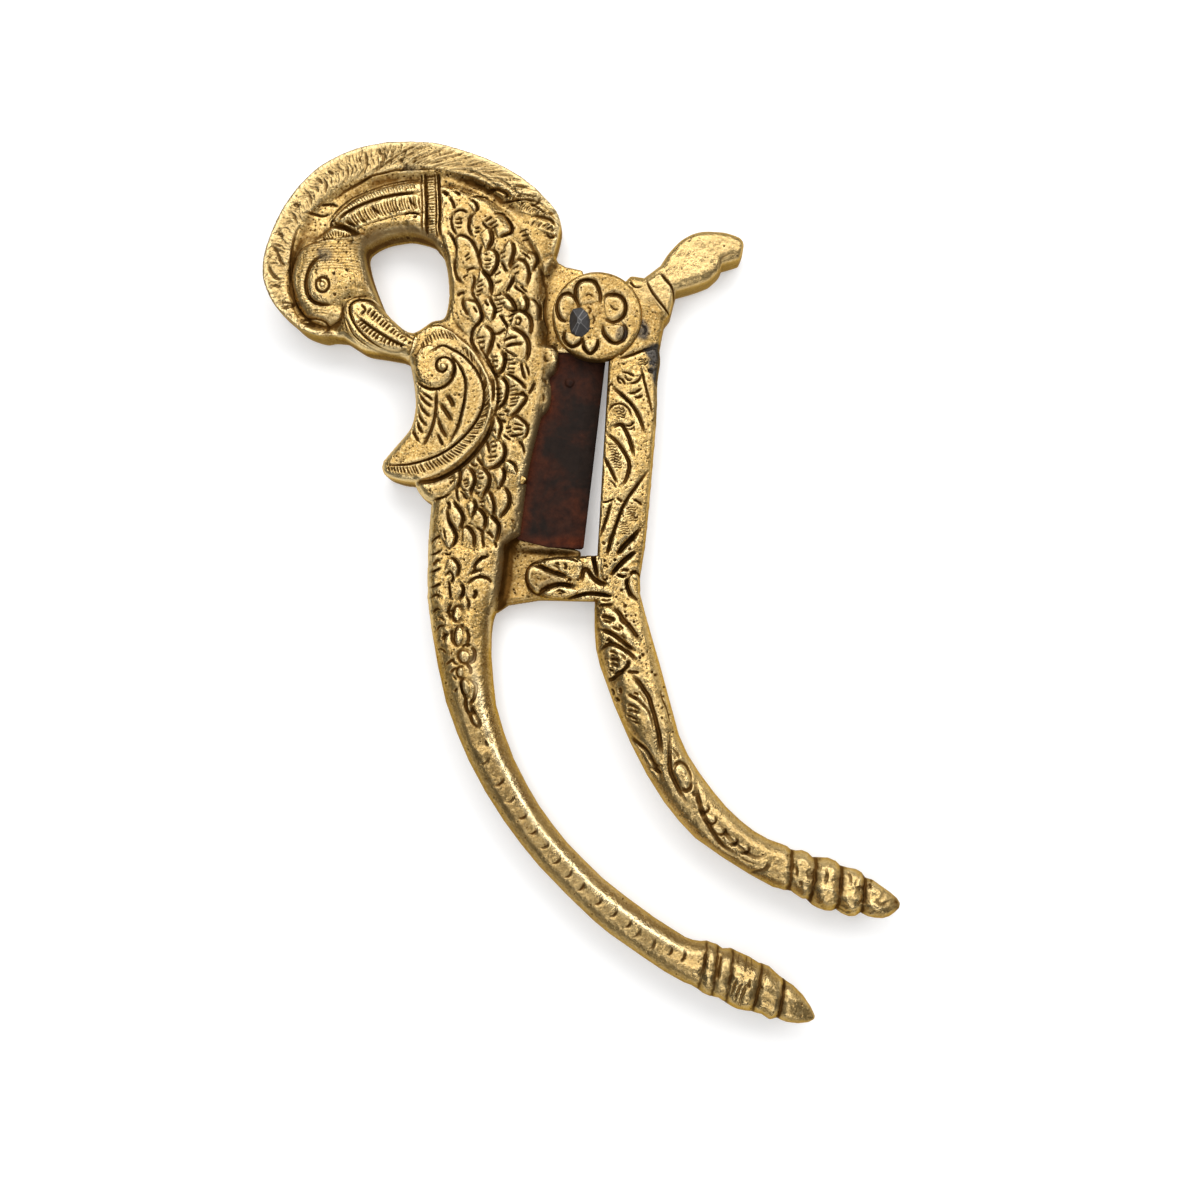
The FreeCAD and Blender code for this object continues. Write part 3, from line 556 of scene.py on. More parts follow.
def make_brass(name):
    m, nt, bs = mat(name)
    g = N(nt)
    co = g.coord()
    cav, cavw, dirt = g.attr("cav"), g.attr("cavw"), g.attr("dirt")
    cloud = g.noise(55.0, 5.0, 0.62, co)
    patch = g.noise(170.0, 4.0, 0.6, co)
    grain = g.noise(1500.0, 3.0, 0.75, co)
    tone = g.ramp(g.span(cloud, 0.3, 0.7, 0.0, 1.0), [
        (0.0, (0.31, 0.185, 0.053)), (0.45, (0.42, 0.270, 0.086)), (1.0, (0.55, 0.380, 0.148))])
    speck = g.noise(900.0, 3.0, 0.7, co)
    tone = g.mix(g.span(speck, 0.52, 0.72, 0.0, 0.62), tone, (0.22, 0.12, 0.035))
    dust = g.noise(2600.0, 2.0, 0.6, co)
    tone = g.mix(g.span(dust, 0.54, 0.70, 0.0, 0.62), tone, (0.16, 0.085, 0.025))
    tone = g.mix(g.span(dust, 0.46, 0.32, 0.0, 0.45), tone, (0.84, 0.65, 0.34))
    # painted highlight: raised spots turn paler, partly also wear; painted shade: hollows turn dark brown, partly also
    # dirt held in them
    high = g.span(cav, -0.05, -0.55, 0.0, 0.55)
    tone = g.mix(high, tone, (0.86, 0.69, 0.37))
    # painted shade from the cavity maps, then dirt and painted shade from the dirt-and-shade map
    shade_and_dirt = g.math("ADD", g.math("MULTIPLY", g.span(cav, 0.02, 0.42, 0.0, 1.0), 0.85), g.math("MULTIPLY", g.span(cavw, 0.05, 0.55, 0.0, 1.0), 0.6))
    shade_and_dirt = g.math("ADD", shade_and_dirt, g.math("MULTIPLY", dirt, 0.8))
    shade_and_dirt = g.math("MULTIPLY", shade_and_dirt, g.span(g.attr("olive"), 0.05, 0.5, 1.0, 0.55))
    shade_and_dirt = g.math("MULTIPLY", shade_and_dirt, g.span(patch, 0.25, 0.62, 0.55, 1.15), clamp=True)
    stain = g.math("MULTIPLY", g.span(g.noise(240.0, 6.0, 0.7, co, 0.6), 0.56, 0.72, 0.0, 1.0), g.span(cloud, 0.62, 0.38, 0.0, 0.55))
    dirt_stain_and_shade = g.math("MAXIMUM", shade_and_dirt, stain, clamp=True)
    dirt_and_shade_brown = g.mix(g.span(patch, 0.35, 0.65, 0.0, 1.0), (0.034, 0.013, 0.002), (0.130, 0.060, 0.012))
    base = g.mix(dirt_stain_and_shade, tone, dirt_and_shade_brown)
    base = g.mix(g.attr("olive"), base, g.mix(dirt_stain_and_shade, (0.44, 0.325, 0.155), (0.080, 0.040, 0.011)))
    grey = g.math("MULTIPLY", g.attr("grey"), g.span(g.noise(700.0, 4.0, 0.7, co), 0.30, 0.50, 0.45, 1.3), clamp=True)
    base = g.mix(grey, base, (0.052, 0.046, 0.040))
    # painted highlight along the rubbed ridge of the long grip, partly also wear
    rubbed_highlight = g.attr("rubbed_highlight")
    base = g.mix(g.math("MULTIPLY", rubbed_highlight, 0.75), base, (0.88, 0.71, 0.41))
    nt.links.new(base, bs.inputs["Base Color"])
    nt.links.new(g.math("SUBTRACT", g.math("SUBTRACT", 1.0, g.math("MULTIPLY", dirt_stain_and_shade, 0.25)), g.math("MULTIPLY", g.attr("side"), 0.15), clamp=True), bs.inputs["Metallic"])
    bs.inputs["Specular IOR Level"].default_value = 0.05
    bs.inputs["Specular Tint"].default_value = (0.72, 0.52, 0.24, 1)
    r = g.math("ADD", g.span(patch, 0.3, 0.7, 0.22, 0.36), g.math("MULTIPLY", dirt_stain_and_shade, 0.25), clamp=True)
    r = g.math("SUBTRACT", r, g.math("MULTIPLY", rubbed_highlight, 0.06), clamp=True)
    r = g.math("ADD", r, g.math("MULTIPLY", g.attr("side"), 0.15), clamp=True)
    nt.links.new(r, bs.inputs["Roughness"])
    b1 = nt.nodes.new("ShaderNodeBump"); b1.inputs["Strength"].default_value = 1.0; b1.inputs["Distance"].default_value = 0.00011
    nt.links.new(grain, b1.inputs["Height"])
    b2 = nt.nodes.new("ShaderNodeBump"); b2.inputs["Strength"].default_value = 0.55; b2.inputs["Distance"].default_value = 0.00030
    nt.links.new(g.noise(420.0, 4.0, 0.6, co), b2.inputs["Height"])
    nt.links.new(b1.outputs["Normal"], b2.inputs["Normal"])
    nt.links.new(b2.outputs["Normal"], bs.inputs["Normal"])
    return m


def make_iron(name, rust=0.5, dark=(0.009, 0.0055, 0.004), spec=0.07, edge_wear_and_glint=0.0, rough=(0.48, 0.68)):
    m, nt, bs = mat(name)
    g = N(nt)
    co = g.coord()
    edge = g.attr("rust")
    a = g.noise(120.0, 6.0, 0.65, co, 0.4); b = g.noise(520.0, 5.0, 0.7, co)
    body = g.mix(g.span(b, 0.3, 0.7, 0.0, 1.0), dark, tuple(2.1 * c for c in dark))
    red = g.mix(g.span(b, 0.35, 0.65, 0.0, 1.0), (0.030, 0.006, 0.002), (0.095, 0.022, 0.008))
    f = g.math("MULTIPLY", g.math("ADD", g.span(a, 0.44, 0.68, 0.0, 0.62), edge), rust * 1.5, clamp=True)
    skin = g.mix(f, body, red)
    # pale facet edges: wear and a painted glint
    if edge_wear_and_glint:
        skin = g.mix(g.span(g.attr("edge"), 0.2, 0.9, 0.0, edge_wear_and_glint), skin, (0.26, 0.25, 0.24))
    nt.links.new(skin, bs.inputs["Base Color"])
    bs.inputs["Metallic"].default_value = 0.0
    bs.inputs["Specular IOR Level"].default_value = spec
    nt.links.new(g.span(b, 0.3, 0.7, rough[0], rough[1]), bs.inputs["Roughness"])
    bp = nt.nodes.new("ShaderNodeBump"); bp.inputs["Strength"].default_value = 0.6; bp.inputs["Distance"].default_value = 0.0002
    nt.links.new(g.noise(700.0, 5.0, 0.7, co), bp.inputs["Height"])
    nt.links.new(bp.outputs["Normal"], bs.inputs["Normal"])
    return m


BRASS = make_brass("worn_brass")
IRON = make_iron("rusted_blade", 0.55)
STEEL = make_iron("hammered_iron", 0.06, (0.020, 0.0185, 0.018), 0.40, 0.45, (0.36, 0.50))


# -------------------------------------------------------------- outlines, mm
SHIFT = np.array([-0.235, 0.585])
PIVOT = np.array([0.775, 50.265])
DISC = np.array([4.275, 51.815])


def mm(pts):
    return np.asarray(pts, float) + SHIFT


def runs(rs, n=5):
    return np.concatenate([(smooth(mm(r), False, n) if len(r) > 2 else mm(r))[:-1] for r in rs])


def circle(c, r, n=96):
    t = np.linspace(0, 2 * np.pi, n, endpoint=False)
    return np.stack([c[0] + r * np.cos(t), c[1] + r * np.sin(t)], -1)


def bend(d, er, eh):
    k = 1 - np.clip(d / er, 0, 1)
    return eh * (1 - np.sqrt(np.clip(1 - k * k, 0, 1)))


def tile(x0, y0, k):
    return lambda *p: [(x0 + a / k, y0 + b / k) for a, b in p]


A = tile(250, 130, 4.48)      # head and crest
B_ = tile(370, 320, 4.9)      # wing and breast
C_ = tile(570, 340, 5.6)      # anvil bar
D_ = tile(400, 480, 5.6)      # thigh and upper left handle
E_ = tile(580, 580, 4.48)     # right handle
F_ = tile(430, 660, 3.92)     # left handle
G_ = tile(680, 920, 10.45)    # left finial
H_ = tile(760, 830, 9.8)      # right finial
L_ = tile(490, 530, 9.8)      # leaf lug
R_ = tile(540, 260, 11.2)     # rosette
S_ = tile(520, 220, 3.92)     # hook and knuckle

BODY = runs([
    [(-38.32, 87.69), (-32.75, 87.67), (-27.18, 87.13), (-18.53, 84.28), (-11.95, 80.84), (-8.05, 77.86)],
    [(-8.05, 77.86), (-6.20, 75.95), (-4.77, 74.47), (-3.34, 72.37), (-2.92, 70.70), (-3.12, 69.03), (-3.73, 66.54), (-4.33, 64.47)],
    [(-4.33, 64.47), (-6.60, 61.16)],
    [(-6.60, 61.16), (-6.60, 46.08)],
    [(-6.60, 46.08), (-4.29, 45.45), (-3.27, 43.59), (-3.67, 40.92), (-5.28, 39.29)],
    [(-5.28, 39.29), (-4.87, 36.42), (-5.26, 33.15), (-6.87, 31.12)],
    [(-6.87, 31.12), (-8.46, 24.61), (-9.65, 18.53), (-11.00, 7.42)],
    [(-11.00, 7.42), (-14.00, 5.21)],
    [(-14.00, 5.21), (-14.19, 2.00), (-14.57, -1.62), (-15.34, -6.62)],
    [(-15.34, -6.62), (-16.32, -9.22), (-16.71, -12.21), (-16.69, -15.60)],
    [(-16.69, -15.60), (-27.68, -15.58)],
    [(-27.68, -15.58), (-28.52, -11.59), (-29.26, -6.79), (-29.41, -1.58), (-29.29, 6.48), (-28.75, 13.75)],
    [(-28.75, 13.75), (-30.38, 14.77), (-31.61, 16.40), (-32.23, 17.83)],
    [(-32.23, 17.83), (-34.86, 18.15), (-37.50, 19.07), (-38.63, 20.30), (-38.56, 22.34)],
    [(-38.56, 22.34), (-36.16, 25.18), (-33.75, 28.02), (-32.76, 29.86), (-32.18, 32.92), (-32.21, 35.59), (-32.65, 39.08), (-33.30, 41.97), (-34.12, 43.00), (-35.35, 43.63)],
    [(-35.35, 43.63), (-38.82, 44.28), (-42.50, 44.93), (-44.77, 46.18), (-47.04, 47.65)],
    [(-47.04, 47.65), (-49.50, 47.88), (-51.74, 47.69), (-55.25, 48.96), (-57.74, 51.05), (-60.04, 53.15), (-61.94, 56.08), (-63.25, 60.05), (-63.12, 64.23), (-61.96, 68.40), (-59.78, 73.41), (-56.97, 77.80), (-54.33, 80.72), (-51.68, 83.00), (-47.99, 85.07), (-43.68, 86.71), (-38.32, 87.69)],
])
HOLE = smooth(mm([(-33.51, 69.02), (-36.41, 68.84), (-39.09, 68.23), (-41.55, 66.99), (-42.77, 65.32), (-42.10, 61.54), (-40.60, 57.33), (-38.91, 53.55), (-35.99, 50.40), (-32.89, 48.50), (-29.01, 50.76), (-26.75, 51.36), (-25.95, 53.02), (-25.56, 56.15), (-25.80, 59.91), (-26.23, 62.43), (-27.08, 64.96), (-28.33, 66.65), (-29.58, 67.92)]), True, 4)
NECK = mm([(-10.5, 64.3), (-4.32, 64.61), (-3.51, 63.14), (-1.88, 62.19), (1.58, 61.43), (1.58, 58.66), (-2.0, 56.0), (-10.5, 56.0)])
PLATE = mm([(-18.5, 7.66), (-11.37, 7.64), (1.10, 4.40), (-0.45, -5.52), (-7.29, -5.50), (-13.52, -6.50), (-15.52, -7.90), (-18.5, -9.51)])
LIP = mm([(-17.0, 8.40), (-11.18, 7.28), (0.84, 4.42), (-1.76, 4.22), (-5.96, 4.19), (-17.0, 5.18)])
LEDGE = mm([(-9.5, 46.0), (2.2, 45.2), (2.4, 36.2), (-1.9, 33.9), (-4.6, 26.0), (-6.6, 18.0), (-8.2, 6.2), (-12.0, 6.2), (-12.0, 30.0)])
BLADE = mm([(6.54, 47.0), (1.62, 4.62), (-5.4, 4.98), (-14.4, 7.3), (-14.1, 12.0), (-9.9, 34.0), (-7.9, 47.0)])
LEAF = runs([
    [(5.90, 3.10), (1.07, 3.10), (-2.52, 3.05), (-4.31, 2.90), (-6.70, 2.48), (-8.49, 1.82), (-9.59, 0.78), (-9.98, -0.42), (-9.92, -1.92), (-9.37, -3.32), (-8.27, -4.42), (-6.88, -5.12), (-5.48, -5.72)],
    [(-5.48, -5.72), (5.90, -6.04)],
    [(5.90, -6.04), (5.90, 3.10)],
])
ANVIL = runs([
    [(11.20, 59.85), (12.40, 59.72), (13.94, 59.42)],
    [(13.94, 59.42), (15.57, 60.65), (17.20, 61.88)],
    [(17.20, 61.88), (18.83, 64.36), (20.87, 66.63), (22.30, 67.66), (23.93, 68.47), (25.76, 68.87), (28.00, 68.85), (30.43, 68.61), (32.45, 67.97)],
    [(32.45, 67.97), (33.56, 67.33), (34.06, 66.29), (33.85, 64.63), (33.23, 63.18)],
    [(33.23, 63.18), (31.60, 62.67), (29.78, 62.17)],
    [(29.78, 62.17), (29.36, 61.14), (28.75, 60.32)],
    [(28.75, 60.32), (27.73, 59.39), (26.72, 58.68), (23.67, 57.57), (20.42, 56.67)],
    [(20.42, 56.67), (19.81, 54.39), (19.19, 51.92)],
    [(19.19, 51.92), (17.97, 50.28)],
    [(17.97, 50.28), (17.35, 47.19), (16.94, 44.72)],
    [(16.94, 44.72), (17.13, 42.66), (16.72, 39.99), (16.51, 36.92), (16.39, 31.60), (15.66, 22.63), (14.83, 13.30), (14.00, 5.43), (12.99, -1.00), (12.98, -4.41)],
    [(12.98, -4.41), (14.56, -10.61), (16.34, -16.59)],
    [(16.34, -16.59), (4.79, -16.58)],
    [(4.79, -16.58), (4.02, -12.79), (3.93, -9.19), (3.994, -6.10)],
    [(3.994, -6.10), (6.979, 45.50)],
    [(6.979, 45.50), (7.40, 55.80)],
    [(7.40, 55.80), (11.20, 59.85)],
])
LEFT_SPINE = mm([(-22.60, -3.20), (-22.60, -7.20), (-22.07, -16.76), (-20.16, -27.58), (-16.04, -37.93), (-10.43, -47.81), (-3.50, -56.55), (4.80, -64.52), (13.50, -71.07), (21.60, -75.30), (24.6, -76.6), (46.98, -87.15)])
RIGHT_SPINE = mm([(8.80, -4.20), (9.00, -8.20), (9.36, -11.28), (11.13, -18.98), (13.63, -26.45), (16.43, -34.20), (20.75, -41.95), (25.96, -48.48), (32.51, -53.87), (39.00, -57.30), (41.4, -58.2), (63.57, -65.42)])
LEFT_GRIP = P([(428, 594), (432, 630), (438, 666), (446, 702), (457, 733), (469, 761), (485, 791), (504, 821), (521, 844), (539, 866), (565, 893), (593, 920), (610, 934), (643, 957), (664, 971), (684, 982), (691, 984.5), (702, 992), (710, 996), (718, 997), (726, 1003), (736, 1008), (753, 1012), (761, 1013.5), (769, 1019), (776, 1018), (786, 1021.5), (798, 1023), (808, 1022), (814, 1019), (815, 1016), (811, 1007), (803, 995), (793, 985), (783, 979), (777, 973.5), (769, 966), (759, 963), (750, 957), (741, 953), (730, 948), (723, 948.5), (716, 944), (707, 941), (700, 941), (693, 940), (685, 937), (655, 918), (625, 896), (603, 878.5), (583, 859), (567, 842.5), (553, 825), (539, 805.5), (527, 785), (514, 759.5), (504, 733), (496, 705), (493.5, 683), (491.5, 657), (491, 631), (494, 610), (497, 598)], 5.0)
RIGHT_GRIP = P([(640, 577), (640, 594), (646, 617), (660, 665), (679, 735), (688, 755), (700, 773.5), (713, 791), (726, 806.5), (740, 820), (754, 831), (768, 839), (779, 843), (787, 846), (791, 849.5), (796, 850.5), (802, 850), (808, 852.5), (813, 857.5), (819, 857.5), (828, 857.5), (836, 861), (841, 866), (848, 867.5), (856, 869), (862, 872.5), (866, 878), (873, 880), (880, 885), (890, 892), (897, 898), (900, 903), (899, 908), (894, 912.5), (889, 916), (882, 918), (874, 917.5), (867, 916), (861, 913), (855, 916), (848, 916), (841, 913), (836, 909.5), (831, 911), (824, 910), (817, 907.5), (812, 905), (806, 899), (802, 898.5), (798, 896), (791, 891), (784, 890), (778, 888), (773, 887), (761, 880.5), (749, 874), (722, 857), (695, 838), (679, 821), (664, 802), (647, 775), (631, 744), (614, 705), (600, 666), (596, 649), (595, 636), (595.4, 624), (596, 613), (598, 596)], 5.0)


def tube(F, spine, grip, y0, y1, mid=5.0, most=4.55, ratio=0.94):
    """Blends the lower part of a casting into an oval grip around its spine."""
    F.add_outline(grip, 9.0)
    q = smooth(spine, False, 6)
    w, t, T = F.dist(q, 14.0)
    m = sstep(y0, y1, F.y[w[0]])[:, None] * (F.sd[w] > -1.9)
    d = F.sd[w]
    d += (F.blur(d, 0.8) - d) * sstep(1.0, 2.2, d) * m
    F.sd[w] = d
    hw = np.clip(F.blur(np.clip(t + d, 1.0, 8.0), 0.8), 1.2, 8.0)
    H = np.minimum(most, ratio * hw)
    for arr, v in ((F.top, mid + H), (F.bot, mid - H), (F.er, hw), (F.eh, H - 0.02), (F.ber, hw), (F.beh, H - 0.02)):
        arr[w] += (v - arr[w]) * m
    # place across the grip, -1 at one flank and +1 at the other
    c = np.r_[0, np.cumsum(np.hypot(*np.diff(q, axis=0).T))]; c /= c[-1]
    sx, sy = np.interp(T, c, q[:, 0]), np.interp(T, c, q[:, 1])
    ex, ey = np.interp(np.clip(T + 0.01, 0, 1), c, q[:, 0]) - np.interp(np.clip(T - 0.01, 0, 1), c, q[:, 0]), np.interp(np.clip(T + 0.01, 0, 1), c, q[:, 1]) - np.interp(np.clip(T - 0.01, 0, 1), c, q[:, 1])
    L = np.hypot(ex, ey) + 1e-9
    u = -((F.x[w[1]][None, :] - sx) * ey - (F.y[w[0]][:, None] - sy) * ex) / L / hw
    return w, T, u.astype(np.float32), m


# ---------------------------------------------------------------- bird arm
bird = Field((-64.2, -89.0, 48.0, 88.9))
bird.add_outline(BODY, 12.0)
bird.cut_outline(HOLE, 8.0)
bird.add_outline(LEFT_GRIP, 9.0)
bs = bird.sd.copy()                     # distance inside the thick casting alone
bird.add_outline(NECK, 4.0)
bird.add_outline(circle(PIVOT, 9.0), 9.5)
bird.add_outline(mm([(-10.4, 42.4), (-10.4, 59.5), (-1.0, 59.5), (-1.0, 42.4)]), 5.0)
w = bird.window(np.array([[-12, 30], [12, 45.3]]), 0)
bird.sd[w] = np.where(bs[w] > 0, bird.sd[w], np.minimum(bird.sd[w], bird.y[w[0]][:, None] - 45.3))
bird.add_outline(PLATE, 5.0)
bird.add_outline(LIP, 3.0)
bird.add_outline(LEDGE, 6.0)
bird.sd = np.minimum(bird.sd, np.where(np.abs(bs) < 0.01, 99, bird.sd))
bird.ber = np.full_like(bird.top, 1.4)
bird.beh = np.full_like(bird.top, 1.3)
X = bird.x[None, :]; Y = bird.y[:, None]
out = bs <= 0
bird.top[:] = 8.5
low = np.full_like(bird.top, 3.85)      # ledge behind the blade
lowb = np.full_like(bird.top, 1.8)
w, d = bird.signed(PLATE, 3.0); low[w] = np.where(d > 0, 4.2, low[w]); lowb[w] = np.where(d > 0, 0.4, lowb[w])
w, d = bird.signed(LIP, 3.0); low[w] = np.where(d > 0, 5.15, low[w])
low = bird.blur(low, 0.35)
near = (X > -12) & (Y > 45.2) & (Y < 66)
low[near] = 6.2
lowb[near] = np.where(np.hypot(X - PIVOT[0], Y - PIVOT[1]) < 7.9, 3.2, 3.2)[near]
w, d = bird.signed(NECK, 3.0); lowb[w] = np.where(d > 0, 0.8, lowb[w])
pocket = np.hypot(X - PIVOT[0], Y - PIVOT[1]) < 7.95
lowb[pocket] = 3.2
bird.top[out] = low[out]
bird.bot[out] = lowb[out]
bird.bot[pocket & ~out] = 3.2
bird.er[:] = 2.2; bird.eh[:] = 2.0
bird.er[out] = 0.7; bird.eh[out] = 0.5
bird.ber[out] = 0.6; bird.beh[out] = 0.4


wl, T, u, m = tube(bird, LEFT_SPINE, LEFT_GRIP, 0, -17)
# one long ridge near the inner flank, the flank beyond it falls away
k = m * sstep(-14.0, -24.0, bird.y[wl[0]])[:, None] * sstep(0.80, 0.70, T)
bird.top[wl] += k * (0.17 * np.exp(-((u - 0.34) / 0.24) ** 2) - 0.24 * sstep(0.45, 0.9, u) - 0.18 * sstep(-0.25, -0.8, u))
# the ridge gets a painted highlight and is rubbed bright, the outer flank gets a thin brown film of painted shade
bird.extra["rubbed_highlight"] = np.zeros_like(bird.top)
bird.extra["rubbed_highlight"][wl] = k * np.exp(-((u - 0.42 - 0.05 * np.sin(T * 40)) / 0.13) ** 2) * (bs[wl] > 0)
bird.dirt[wl] = np.maximum(bird.dirt[wl], k * 0.30 * sstep(0.22, -0.15, u))


def O(*p):
    return list(p)


def scale(F, arc, w=3.5, h=-0.5, lift=0.34, back=0.42, r=0.7):
    """Overlapping scale: a pad that climbs to a crescent cut at its free edge."""
    a = np.array(arc, float)
    c, m = (a[0] + a[-1]) / 2, a[len(a) // 2]
    n = c - m
    L = np.hypot(*(a[-1] - a[0]))
    n = n / max(np.hypot(*n), 1e-6)
    b = c + n * back * L
    if lift:
        ring = [tuple(q) for q in a] + [tuple(a[-1] * 0.45 + b * 0.55 - 0.04 * n), tuple(b), tuple(a[0] * 0.45 + b * 0.55)]
        F.leaf(ring, lift * 1.6, r, tuple(b), tuple(m), base=0.15)
    F.stroke(arc, w, h, taper=0.4, n=5)


